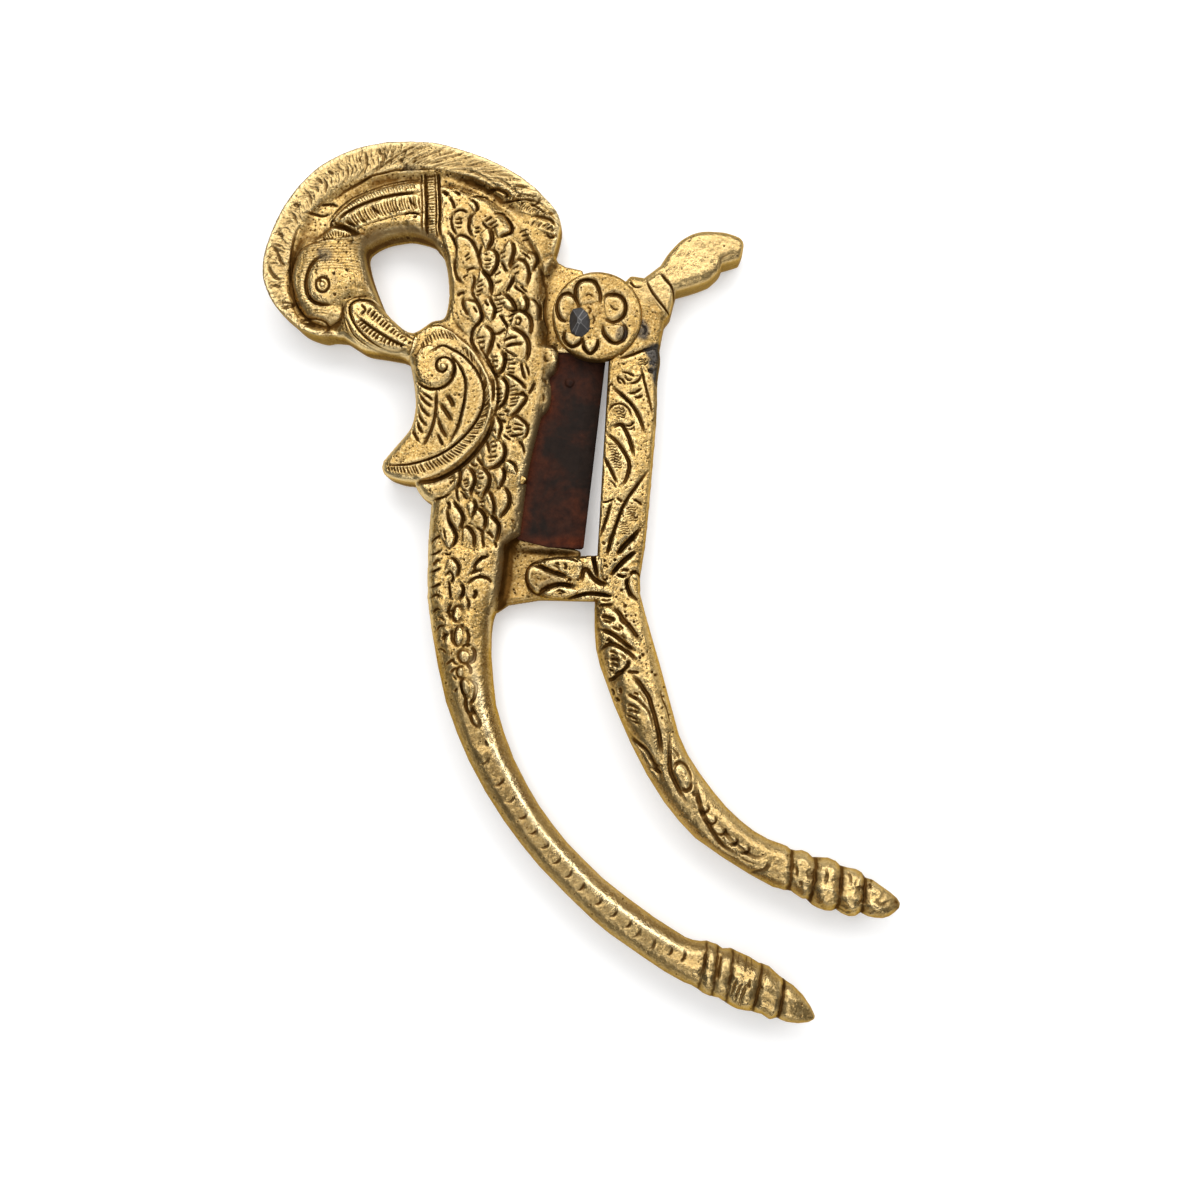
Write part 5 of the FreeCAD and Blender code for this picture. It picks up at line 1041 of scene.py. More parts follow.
# crest: short uneven barbs in wavy bundles
def barbs(F, T, inner, outer, n, wd, h, length, swing, lean=0.12, lo=0.04, hi=0.96, **kw):
    A1, B1 = np.array(smooth(inner, False, 10)), np.array(smooth(outer, False, 10))
    da = np.r_[0, np.cumsum(np.hypot(*np.diff(A1, axis=0).T))]; da /= da[-1]
    db = np.r_[0, np.cumsum(np.hypot(*np.diff(B1, axis=0).T))]; db /= db[-1]
    for i in range(n):
        s = rng.uniform(0.01, 0.99)
        f0 = rng.uniform(lo, hi - length * 0.7); f1 = min(f0 + length * rng.uniform(0.6, 1.3), hi)
        pts = []
        ph = rng.uniform(-1, 1) * lean
        for f in np.linspace(f0, f1, 4):
            e = s + swing * f + 0.010 * math.sin(6.0 * f + 9.0 * s + 3 * ph)
            pa = np.array([np.interp(s + 0.2 * ph * (f - f0), da, A1[:, 0]), np.interp(s + 0.2 * ph * (f - f0), da, A1[:, 1])])
            pb = np.array([np.interp(e, db, B1[:, 0]), np.interp(e, db, B1[:, 1])])
            pts.append(tuple(pa + (pb - pa) * f))
        F.stroke(T(*pts), wd * rng.uniform(0.7, 1.35), h * rng.uniform(0.6, 1.35), taper=0.35, n=4, **kw)


barbs(bird, A, BAND_IN[1:12], BAND_OUT[1:12], 20, 3.0, -0.13, 0.8, -0.05, hi=1.06, dirt=0.22, cushion=0.1)
barbs(bird, A, BAND_IN[1:12], BAND_OUT[1:12], 330, 1.6, -0.10, 0.32, -0.06, hi=1.10, dirt=0.18, cushion=0.05)
barbs(bird, A, BAND_IN[9:], BAND_OUT[9:], 17, 2.8, -0.13, 0.75, 0.05, hi=1.06, dirt=0.22, cushion=0.1)
barbs(bird, A, BAND_IN[9:], BAND_OUT[9:], 300, 1.5, -0.10, 0.30, 0.07, hi=1.10, dirt=0.18, cushion=0.05)
for p, wd in (([(540, 196), (590, 160), (600, 110), (588, 84)], 4.0), ([(800, 186), (760, 168), (700, 172), (640, 196)], 4.0), ([(1120, 270), (1060, 220), (990, 188), (900, 178)], 4.0), ([(1215, 300), (1150, 245), (1080, 205)], 3.6),
              ([(700, 180), (680, 140), (700, 90)], 3.6), ([(480, 220), (520, 170), (520, 120), (505, 100)], 3.6), ([(420, 245), (440, 200), (430, 150)], 3.2), ([(330, 300), (340, 250), (320, 200)], 3.4), ([(270, 350), (270, 300), (240, 270)], 3.2), ([(215, 440), (200, 390), (170, 370)], 3.2)):
    bird.stroke(A(*p), wd, -0.24, taper=0.45, dirt=0.34)
for p, wd in (([(379, 149), (380, 153), (384, 156)], 3.0), ([(329, 172), (333, 175)], 3.0), ([(316, 180), (320, 181), (323, 185)], 3.4), ([(294, 204), (297, 206), (300, 206)], 3.6), ([(277, 234), (281, 235), (283, 238)], 3.6), ([(271, 287), (276, 286), (281, 288)], 3.4),
              ([(279, 306), (284, 308), (292, 306), (294, 302)], 3.8), ([(281, 303), (288, 303), (293, 304)], 2.4), ([(290, 315), (292, 319)], 2.6), ([(268, 265), (271, 272), (277, 279), (284, 280)], 3.0), ([(272, 246), (277, 252), (281, 262), (287, 268)], 2.8),
              ([(299, 326), (302, 321), (308, 319), (318, 320), (326, 323), (328, 328), (323, 333), (315, 335)], 3.2), ([(303, 323), (309, 323.5), (316, 326)], 2.6), ([(448, 171.5), (430, 169.5), (400, 170), (385, 173), (372, 176), (356, 184), (345, 190), (335, 198)], 2.4),
              ([(303, 222), (297, 232), (293, 245), (290.6, 262), (291, 278), (294, 292), (300, 305)], 2.6), ([(305, 214), (312, 213), (322, 215), (330, 212)], 3.0), ([(320, 205), (330, 203), (338, 206)], 2.6)):
    bird.stroke(p, wd, -0.32, taper=0.35, dirt=0.48)
# brown film in the hollows; painted shade under the neck, left of the cheek, on the ledge by the disc and right of the
# leg
bird.stain_and_shade([(372, 178), (400, 172), (448, 172), (470, 178), (482, 186), (470, 190), (448, 184), (420, 182), (395, 183), (372, 188), (350, 200), (344, 196)], 0.42, 0.9)
# painted shade on the neck's underside above the hole
bird.stain_and_shade([(345, 240), (362, 232), (385, 226), (410, 225), (430, 230), (440, 240), (438, 250), (420, 240), (390, 238), (368, 250), (366, 270), (374, 300), (366, 300), (360, 270), (352, 250)], 0.72, 0.9)
# painted shade left of the cheek dome
bird.stain_and_shade([(292, 262), (300, 246), (316, 240), (330, 246), (316, 258), (306, 276), (304, 296), (310, 310), (330, 318), (342, 322), (330, 330), (312, 322), (298, 305)], 0.34, 1.0)
# painted shade on the ledge beside the disc
bird.stain_and_shade([(541, 225), (552, 232), (553, 260), (548, 300), (546, 345), (538, 345), (538, 300), (536, 262)], 0.34, 1.0)
# painted shade in the valley right of the leg
bird.stain_and_shade([(500, 545), (506, 545), (506, 560), (503, 580), (498, 606), (492, 606), (496, 575)], 0.45, 0.7)
bird.patina([(318, 253), (327, 250), (334, 255), (333, 262), (322, 264)], 0.55, 0.6)
bird.patina([(334, 279), (338, 277), (340, 284), (336, 288)], 0.35, 0.4)

# painted shade under the blade's lower edge, over the cross plate near the leg with a brown film, and in the valley
# where the leg meets the plate
bird.stain_and_shade([(500, 526), (520, 531), (586, 547), (588, 556), (560, 556), (520, 549), (500, 545)], 0.72, 0.7)
bird.stain_and_shade([(504, 545), (545, 551), (560, 556), (545, 560), (535, 575), (540, 600), (500, 612), (500, 580)], 0.25, 1.0)
bird.stain_and_shade([(500, 540), (509, 548), (511, 575), (506, 603), (497, 612), (495, 575)], 0.62, 0.8)
bird.stain_and_shade([(452, 212), (500, 205), (540, 225), (548, 300), (545, 350), (552, 380), (535, 450), (515, 530), (440, 535), (430, 500), (425, 420), (445, 340), (455, 300), (448, 250)], 0.25, 2.0)
bird.stain_and_shade([(541, 345), (556, 372), (550, 405), (541, 440), (531, 490), (520, 534), (509, 532), (518, 490), (528, 440), (536, 400), (540, 376)], 0.72, 0.8)

# plumage and the feathered end of the crest
relief_scales(bird)

# wing
K2 = 4.9
WO = [(395, 60), (450, 100), (510, 155), (562, 240), (596, 330), (598, 430), (565, 540), (500, 630), (420, 705), (330, 758), (210, 785), (95, 765), (66, 722)]
WI = [(300, 165), (352, 130), (410, 150), (470, 188), (530, 262), (560, 350), (550, 440), (500, 530), (420, 612), (320, 672), (200, 708), (85, 716)]
WV = [(398, 180), (440, 230), (468, 300), (466, 380), (452, 450), (430, 530), (395, 598)]
bird.area(B_((240, 60), (330, 30), (395, 55), (450, 100), (510, 155), (562, 240), (598, 330), (600, 430), (567, 540), (502, 632), (422, 707), (330, 760), (205, 790), (90, 770), (60, 730), (60, 700), (180, 560), (225, 470), (215, 330), (190, 220), (205, 150)), dz=0.55, soft=0.28)
bird.stroke(B_((610, 470), (580, 560), (510, 655), (430, 728), (330, 782), (240, 800)), 26.0 / K2, -0.9, taper=0.2)
bird.stroke(B_((520, 110), (580, 200), (622, 300), (628, 400), (610, 470)), 16.0 / K2, -0.45, taper=0.2)
bird.stroke(B_(*WI), 13.0 / K2, -0.5, taper=0.08)
spread(bird, B_, WI[3:], [(440, 112), (500, 165), (552, 245), (586, 335), (587, 428), (555, 532), (492, 620), (412, 693), (325, 742), (205, 765), (90, 740)], 62, 8.5, -0.27, K2, cut=(0.12, 0.95))
bird.dome(B_(*WV, (360, 660), (420, 612), (500, 530), (548, 440), (556, 350), (528, 265), (468, 192), (420, 160)), 0.18, 1.2)
bird.stroke(B_(*WV), 13.0 / K2, -0.45, taper=0.12)
bird.stroke(B_((326, 348), (324, 440), (306, 530), (262, 622)), 17.0 / K2, -0.45, taper=0.2)
for p, wd in (([(372, 366), (398, 396), (412, 432)], 26), ([(342, 410), (372, 450), (404, 502)], 24), ([(330, 480), (350, 530), (378, 584)], 20), ([(332, 560), (346, 590), (360, 620)], 14),
              ([(242, 366), (270, 402), (304, 430)], 13), ([(240, 408), (264, 446), (298, 480)], 13), ([(236, 452), (252, 490), (280, 520)], 13), ([(232, 500), (242, 530), (262, 560)], 13),
              ([(206, 540), (224, 570), (240, 600)], 12), ([(256, 360), (290, 380), (310, 400)], 10)):
    bird.stroke(B_(*p), wd / K2, -0.5, taper=0.45)
# volute
bird.dome(B_((245, 150), (218, 225), (248, 295), (310, 325), (372, 306), (406, 255), (402, 200), (372, 160), (320, 130), (280, 130)), 0.42, 1.4)
bird.stroke(B_((224, 300), (262, 328), (312, 342), (366, 328), (404, 290), (418, 240), (408, 190)), 15.0 / K2, -0.55, taper=0.2)
sp = []
for t in np.linspace(0, 2.55 * np.pi, 30):
    r = 15 + 46 * (t / (2.55 * np.pi)) ** 1.15
    sp.append((362 - r * math.cos(t + 2.4) * 0.98, 232 + r * math.sin(-t - 2.4) * 1.0))
bird.stroke(B_(*sp), 12.0 / K2, -0.5, taper=0.1, n=2)
bird.dome(B_(*[(364 + 15 * math.cos(t), 232 + 15 * math.sin(t)) for t in np.linspace(0, 6.28, 9)[:-1]]), 0.3, 0.6)
spread(bird, B_, [(255, 160), (300, 115), (370, 100), (440, 110)], [(248, 120), (290, 75), (350, 50), (410, 65)], 13, 8, -0.22, K2)

# lump under the wing tip
bird.dome(B_((240, 802), (262, 852), (310, 878), (370, 858), (420, 822), (440, 780), (380, 770), (300, 790)), 0.5, 1.8)
bird.stroke(B_((310, 884), (360, 870), (400, 850)), 12.0 / K2, -0.3, taper=0.3)

# upper left grip: ovals, then a wavy vine
def oval(F, cx, cy, rx, ry, rot=0.0, a0=0.5, a1=5.9, w=3.0, h=-0.3, up=0.34):
    ca, sa = math.cos(rot), math.sin(rot)
    at = lambda t, k: (cx + k * (ca * rx * math.cos(t) - sa * ry * math.sin(t)), cy + k * (sa * rx * math.cos(t) + ca * ry * math.sin(t)))
    F.dome([at(t, 0.95) for t in np.linspace(0, 2 * np.pi, 10, endpoint=False)], up, 0.8, n=3)
    F.stroke([at(t, 1.12) for t in np.linspace(a0, a1, 11)], w * 1.15, h * 0.85, taper=0.45, n=3, dirt=0.3)


bird.area([(449, 600), (464, 600), (468, 630), (478, 670), (487, 720), (490, 745), (474, 745), (462, 705), (452, 655)], dz=-0.22, soft=0.9)
for cx, cy, rx, ry, rot in ((457.8, 614, 4.6, 7.4, 0.05), (459.6, 636, 4.4, 9.5, 0.1), (465, 656.4, 5.6, 6.6, -0.3), (461, 672, 3.4, 5.0, 0.1), (466.4, 687, 4.0, 8.0, -0.2), (469.4, 705, 3.6, 6.6, -0.1), (475.6, 719, 3.6, 6.6, -0.3)):
    oval(bird, cx, cy, rx, ry, rot, a0=rng.uniform(0.2, 1.2), a1=rng.uniform(5.2, 6.2), w=rng.uniform(2.6, 3.6))
for wd, dp, p in ((4.0, -0.5, [(471, 646), (475, 652), (474, 660), (469, 664)]), (3.2, -0.42, [(462, 648), (466, 645), (471, 646)]), (3.4, -0.42, [(467, 664), (471, 669), (471, 675)]),
                  (3.8, -0.48, [(469, 678), (476.4, 686), (474.6, 697.6), (470.8, 705), (476, 716), (480.4, 724), (476.4, 728)]), (3.2, -0.4, [(461, 678), (462.6, 690), (466.6, 701.5), (468.4, 712.6), (472.6, 721)]),
                  (3.0, -0.38, [(466, 596), (469, 603), (468, 610)]), (3.4, -0.4, [(452, 602), (449, 611), (451, 620)]), (3.0, -0.38, [(453, 628), (452, 638), (455, 645)]), (3.6, -0.42, [(466, 628), (469, 637), (467, 646)]),
                  (2.6, -0.3, [(488.6, 734), (490.6, 740), (494, 743)]), (2.6, -0.3, [(485, 740), (487, 746)]), (2.4, -0.3, [(452, 660), (456, 664), (459, 664)]), (2.6, -0.3, [(453, 676), (457, 680)]),
                  (3.6, -0.42, [(432, 566), (437, 561), (441, 560.4)]), (3.6, -0.42, [(430.6, 598), (436, 595), (441, 597)]), (3.6, -0.42, [(431.4, 613), (437, 609), (441, 610)]), (3.2, -0.4, [(436, 631), (440, 626), (446, 626)]),
                  (3.6, -0.42, [(441, 640), (446, 635), (450, 634)]), (2.6, -0.34, [(443, 630), (445, 636), (444, 644)]), (3.2, -0.4, [(446, 665), (451, 661), (455, 659)]), (3.2, -0.4, [(450, 673), (455, 669), (458, 670)]), (3.0, -0.36, [(454, 692), (458, 688)]),
                  (2.6, -0.3, [(437, 617), (441, 618), (445, 621)]), (2.6, -0.3, [(438, 648), (443, 650), (447, 654)]), (3.0, -0.4, [(470, 575), (476, 571), (483, 571)]), (2.4, -0.3, [(478, 560), (483, 557), (489, 557)])):
    bird.stroke(p, wd * 1.1, dp * 0.85, taper=0.3, dirt=0.45)
# row of crescent punches down the long grip
PUNCH = [(484.8, 760.8), (498.9, 782.4), (510.4, 799), (523, 815.6), (533.3, 831), (544.8, 845), (556.3, 860.3), (567.8, 874.3), (580.5, 887), (598.4, 901), (613.7, 912.6), (627.7, 924), (636.6, 933), (652, 944.4), (669.8, 950.8), (682.6, 956)]
for i, (x, y) in enumerate(PUNCH):
    j, k_ = max(i - 1, 0), min(i + 1, len(PUNCH) - 1)
    tx, ty = PUNCH[k_][0] - PUNCH[j][0], PUNCH[k_][1] - PUNCH[j][1]
    L = math.hypot(tx, ty); tx, ty = tx / L, ty / L
    s_ = 6.2 * rng.uniform(0.85, 1.15)
    nx, ny = -ty, tx
    bird.stroke([(x - nx * s_ - tx * 1.4, y - ny * s_ - ty * 1.4), (x - nx * 0.4 * s_ + tx * 1.6, y - ny * 0.4 * s_ + ty * 1.6), (x + nx * 0.4 * s_ + tx * 1.8, y + ny * 0.4 * s_ + ty * 1.8), (x + nx * s_ - tx * 0.8, y + ny * s_ - ty * 0.8)], 2.8, -0.26, taper=0.4, dirt=0.34)
    if i % 4:
        continue
    bird.stroke([(x - nx * s_ * 0.6 + tx * 3.6, y - ny * s_ * 0.6 + ty * 3.6), (x + nx * s_ * 0.5 + tx * 4.2, y + ny * s_ * 0.5 + ty * 4.2)], 2.0, -0.1, taper=0.3, n=3, dirt=0.2)


# --------------------------------------------------------------- anvil arm
anv = Field((2.0, -68.5, 64.6, 71.0)) if False else Field((-11.5, -68.5, 64.6, 71.0))
anv.add_outline(ANVIL, 12.0)
anv.cut_outline(circle(PIVOT, 9.4), 8.0)
anv.add_outline(LEAF, 6.0)
anv.bot[:] = 0.6
anv.top[:] = 8.2
anv.ber = np.full_like(anv.top, 1.2); anv.beh = np.full_like(anv.top, 1.0)
anv.er[:] = 1.9; anv.eh[:] = 1.7
face = mm([(3.994, -6.10), (6.979, 45.50)])
AX = anv.x[None, :] - (face[0, 0] + (anv.y[:, None] - face[0, 1]) * (face[1, 0] - face[0, 0]) / (face[1, 1] - face[0, 1]))
leafy = (AX < 0) & (anv.y[:, None] > -7.5) & (anv.y[:, None] < 8)
anv.bot[leafy] = 4.6
anv.top[leafy] = 8.3
anv.er[leafy] = 1.3; anv.eh[leafy] = 1.5
anv.ber[leafy] = 0.5; anv.beh[leafy] = 0.3
# the cutting face stays square
square = (np.abs(AX) < 2.2) & (anv.y[:, None] > 3.0) & (anv.y[:, None] < 44)
anv.er[square] = 0.8; anv.eh[square] = 0.7
tube(anv, RIGHT_SPINE, RIGHT_GRIP, -3.0, -16.0)
anv.zref = 8.1
K5 = 5.6
for p, wd, dp in (([(270, 104), (330, 88), (420, 54), (492, 38)], 15, -0.5), ([(395, 150), (420, 250), (445, 340), (460, 412)], 10, -0.4), ([(232, 258), (290, 306), (350, 368), (390, 440), (416, 516)], 17, -0.55),
                  ([(212, 404), (240, 366), (290, 358), (330, 388), (346, 440)], 10, -0.32), ([(300, 476), (340, 478), (358, 452)], 11, -0.35), ([(312, 498), (345, 498), (362, 478)], 9, -0.25),
                  ([(232, 492), (286, 472), (322, 530), (345, 600), (356, 652)], 20, -0.55), ([(204, 522), (260, 568), (310, 640), (332, 700), (314, 780), (282, 822)], 18, -0.6), ([(188, 652), (225, 720), (262, 802)], 15, -0.55),
                  ([(214, 780), (240, 800), (262, 832)], 8, -0.25), ([(172, 908), (210, 904), (254, 884)], 10, -0.35), ([(260, 880), (280, 896), (302, 904)], 14, -0.3), ([(230, 908), (200, 1010), (168, 1098)], 13, -0.5),
                  ([(432, 738), (370, 820), (302, 920), (256, 1040), (226, 1130), (205, 1198)], 15, -0.6), ([(352, 892), (376, 902), (404, 926)], 10, -0.4), ([(398, 1052), (340, 1110), (268, 1192)], 21, -0.6),
                  ([(362, 1188), (290, 1240), (228, 1322)], 19, -0.6), ([(135, 1215), (140, 1290), (156, 1332)], 11, -0.5), ([(98, 1288), (150, 1340), (212, 1368)], 17, -0.5), ([(-4, 1442), (100, 1424), (240, 1432)], 15, -0.45),
                  ([(330, 1318), (318, 1370), (340, 1420), (384, 1462)], 15, -0.5), ([(342, 1300), (380, 1306), (398, 1340)], 12, -0.4), ([(268, 1310), (300, 1322), (322, 1310)], 9, -0.3),
                  ([(262, 208), (290, 222), (312, 252)], 11, -0.35), ([(286, 178), (330, 186), (362, 206)], 10, -0.35), ([(330, 246), (376, 232), (402, 198)], 12, -0.4), ([(328, 300), (368, 292), (402, 268)], 13, -0.42),
                  ([(360, 322), (388, 318), (404, 306)], 12, -0.4), ([(272, 196), (268, 226), (290, 248)], 8, -0.3), ([(310, 212), (330, 226), (350, 222)], 8, -0.3), ([(238, 240), (212, 262), (214, 290)], 9, -0.3),
                  ([(436, 160), (450, 175), (468, 170)], 16, -0.4), ([(180, 1270), (196, 1262), (214, 1276)], 9, -0.3), ([(180, 1330), (196, 1340), (216, 1330)], 10, -0.35)):
    anv.stroke(C_(*p), 1.25 * wd / K5, dp, taper=0.3, dirt=0.52, cushion=0.3)
for x0, y0, n_, s in ((228, 586, 7, 15), (250, 640, 6, 15), (330, 940, 7, 12), (288, 1024, 6, 12), (268, 384, 4, 16), (400, 110, 3, 14)):
    for i in range(n_):
        a = x0 + 7 * rng.uniform(-1, 1) + i * 3; b = y0 + i * s
        anv.stroke(C_((a - 16, b + 5), (a + 2, b - 4), (a + 22, b + 4 * rng.uniform(-1, 2)), (a + 34, b - 8)), 6.5 / K5, -0.24, taper=0.25, n=3)
# collar, knuckle and hook
K6 = 3.92
anv.area(S_((495, 245), (552, 208), (600, 272), (606, 335), (590, 402), (560, 360), (520, 300)), dz=0.28, soft=0.3, curved=False)
for p, wd, dp in (([(494, 240), (520, 288), (548, 325), (594, 378)], 9, -0.5), ([(548, 206), (576, 240), (600, 276), (604, 336)], 10, -0.55), ([(455, 300), (448, 340), (456, 400), (440, 470)], 8, -0.35),
                  ([(430, 240), (450, 262), (478, 262)], 7, -0.3), ([(476, 410), (492, 430), (486, 452)], 7, -0.3)):
    anv.stroke(S_(*p), wd / K6, dp, taper=0.15)
anv.stroke(S_((598, 282), (660, 262), (720, 252), (776, 232), (782, 178), (800, 142), (872, 126)), 10.0 / K6, -0.12, taper=0.3)
# leaf lug and grip, points on the drawing itself
def carve(F, rows, k=1.0, cushion=0.30, dirt=0.52):
    for wd, dp, p in rows:
        low_ = min(max((p[0][1] - 640) / 120, 0), 1)
        F.stroke(p, wd * (1.15 + 0.15 * low_), dp * k * (1 - 0.22 * low_), taper=0.28, cushion=cushion, dirt=dirt * (1 - 0.4 * low_))


anv.area([(524, 572), (532, 562), (548, 557), (575, 555), (594, 553), (600, 575), (606, 600), (570, 601), (540, 598), (527, 588)], dz=-0.25, soft=0.8)
anv.dome([(526, 577), (529, 567), (536, 566), (546, 571), (558, 576), (566, 579), (566, 583), (553, 584), (543, 589), (538, 593), (530, 588)], 0.55, 1.1)
anv.dome([(540, 563), (550, 558.5), (566, 557), (580, 560), (583, 567), (580, 578), (570, 579), (560, 572), (548, 568)], 0.5, 1.1)
anv.dome([(543, 594), (549, 589), (560, 586), (572, 588), (578, 592), (570, 597), (556, 598.5)], 0.4, 0.9)
anv.stain_and_shade([(533, 573), (548, 573), (563, 578), (562, 584), (548, 586), (538, 591), (531, 583)], 0.55, 0.6)
carve(anv, [
    (3.2, -0.5, [(541, 561), (532, 563), (527, 566), (524.6, 572), (525, 579.5), (527.4, 586), (532, 592), (538.5, 596)]),
    (2.6, -0.4, [(540, 561), (548.3, 557.6), (554, 556), (565, 555), (577, 555), (586, 554), (593.3, 552.2)]),
    (3.6, -0.55, [(536, 565.4), (541.7, 566.7), (547.2, 569.4), (552.8, 572.2), (559.4, 574), (564, 575), (565.4, 578)]),
    (2.0, -0.3, [(552.8, 565), (556, 566.6), (559.4, 569)]), (2.0, -0.3, [(543, 568), (546, 570.5), (548, 571)]),
    (4.4, -0.7, [(537.5, 595), (541, 591.5), (547, 587.2), (554, 584.9), (561.7, 583.8), (569.4, 585), (576.5, 586.4)]),
    (2.4, -0.35, [(556, 592), (560, 590.6), (565, 593.4)]), (2.0, -0.3, [(558, 594), (562, 593)]),
    (3.6, -0.6, [(569, 598.4), (577.2, 595.6), (586, 593.4), (595, 593), (604, 594.4), (612, 597)]),
    (4.6, -0.65, [(580.4, 581), (582, 576), (583.2, 571), (585.6, 569), (588.5, 571), (591.8, 576.2), (596, 580.6), (601.7, 583.4), (607, 585)]),
    (4.6, -0.75, [(593.2, 552.6), (593.8, 560), (595.6, 568.4), (597, 577)]),
    (2.4, -0.35, [(570, 558.6), (574, 559.4), (578, 562)]), (2.4, -0.35, [(564, 563), (566, 567), (564, 570)]),
    (4.6, -0.6, [(611, 574.5), (617.2, 567.4), (624, 560.6), (631.7, 554), (636.5, 551.5)]),
    (3.4, -0.45, [(607, 554), (609.4, 545), (610.6, 538.4), (612.8, 535)]),
    (5.4, -0.65, [(617.5, 555.5), (621.7, 548.4), (627.2, 541.8), (636, 535)]),
    (3.6, -0.55, [(626.6, 578), (627, 585), (629, 592), (631, 597)]), (3.0, -0.4, [(630, 575.4), (632.8, 571.8), (637, 571.4)]),
    (3.2, -0.4, [(616, 573.6), (620.6, 576), (625.4, 577)]), (3.2, -0.4, [(620, 571.4), (624, 569.4), (629, 571)]),
    (3.2, -0.45, [(597, 605.6), (604, 604.8), (613, 604.4)]), (2.2, -0.3, [(600, 599), (606, 600.4), (611, 599)]),
])
anv.ring((604, 577.8), 2.6, 1.8, -0.22, ry=1.8)
for x, y, r in ((604, 543.3, 0.42), (618.3, 543.3, 0.3), (629.4, 549, 0.36), (615, 560, 0.36), (604.4, 560.8, 0.3), (610, 564, 0.22), (621.7, 590, 0.36), (625, 606, 0.4), (557.2, 564, 0.45), (544, 562.2, 0.32), (569.5, 579.5, 0.42), (633.3, 540, 0.2),
                (626, 616, 0.36), (629, 624, 0.36), (634, 622, 0.3), (625, 612, 0.25), (631, 616, 0.2), (616, 597, 0.25)):
    anv.pit(*anv.pts([(x, y), (x, y)])[0], r, 0.4)
for _ in range(70):
    x, y = rng.uniform(531, 564), rng.uniform(572, 590)
    anv.pit(*anv.pts([(x, y), (x, y)])[0], rng.uniform(0.12, 0.24), 0.18)
# grip
anv.dome([(600, 612), (612, 607), (624, 622), (634, 640), (628, 646), (612, 634), (600, 628)], 0.3, 1.2)
anv.dome([(602, 652), (612, 646), (624, 652), (628, 662), (620, 674), (610, 678), (604, 664)], 0.35, 1.4)
anv.dome([(615, 684), (630, 678), (642, 692), (651, 710), (657, 736), (655, 756), (640, 742), (627, 728), (619, 706)], 0.3, 1.6)
anv.dome([(674, 770), (680, 763), (687, 767), (691, 776), (690, 787), (684, 789), (678, 781)], 0.35, 1.1)
for c, q in (((697, 803), (706, 811)), ((704, 815), (714, 822)), ((713, 826), (724, 833)), ((724, 837), (736, 842)), ((736, 846), (748, 850))):
    x, y = (c[0] + q[0]) / 2, (c[1] + q[1]) / 2
    ring = [(x + 6.4 * math.cos(t) - 2.2 * math.sin(t), y + 3.0 * math.sin(t) + 3.0 * math.cos(t)) for t in np.linspace(0, 2 * np.pi, 10, endpoint=False)]
    anv.dome(ring, 0.34, 0.8, n=3)
    anv.stroke([(x + 6.5, y - 3), (x + 7, y + 2), (x + 3, y + 5.5), (x - 2, y + 5)], 2.8, -0.3, taper=0.3, dirt=0.35)
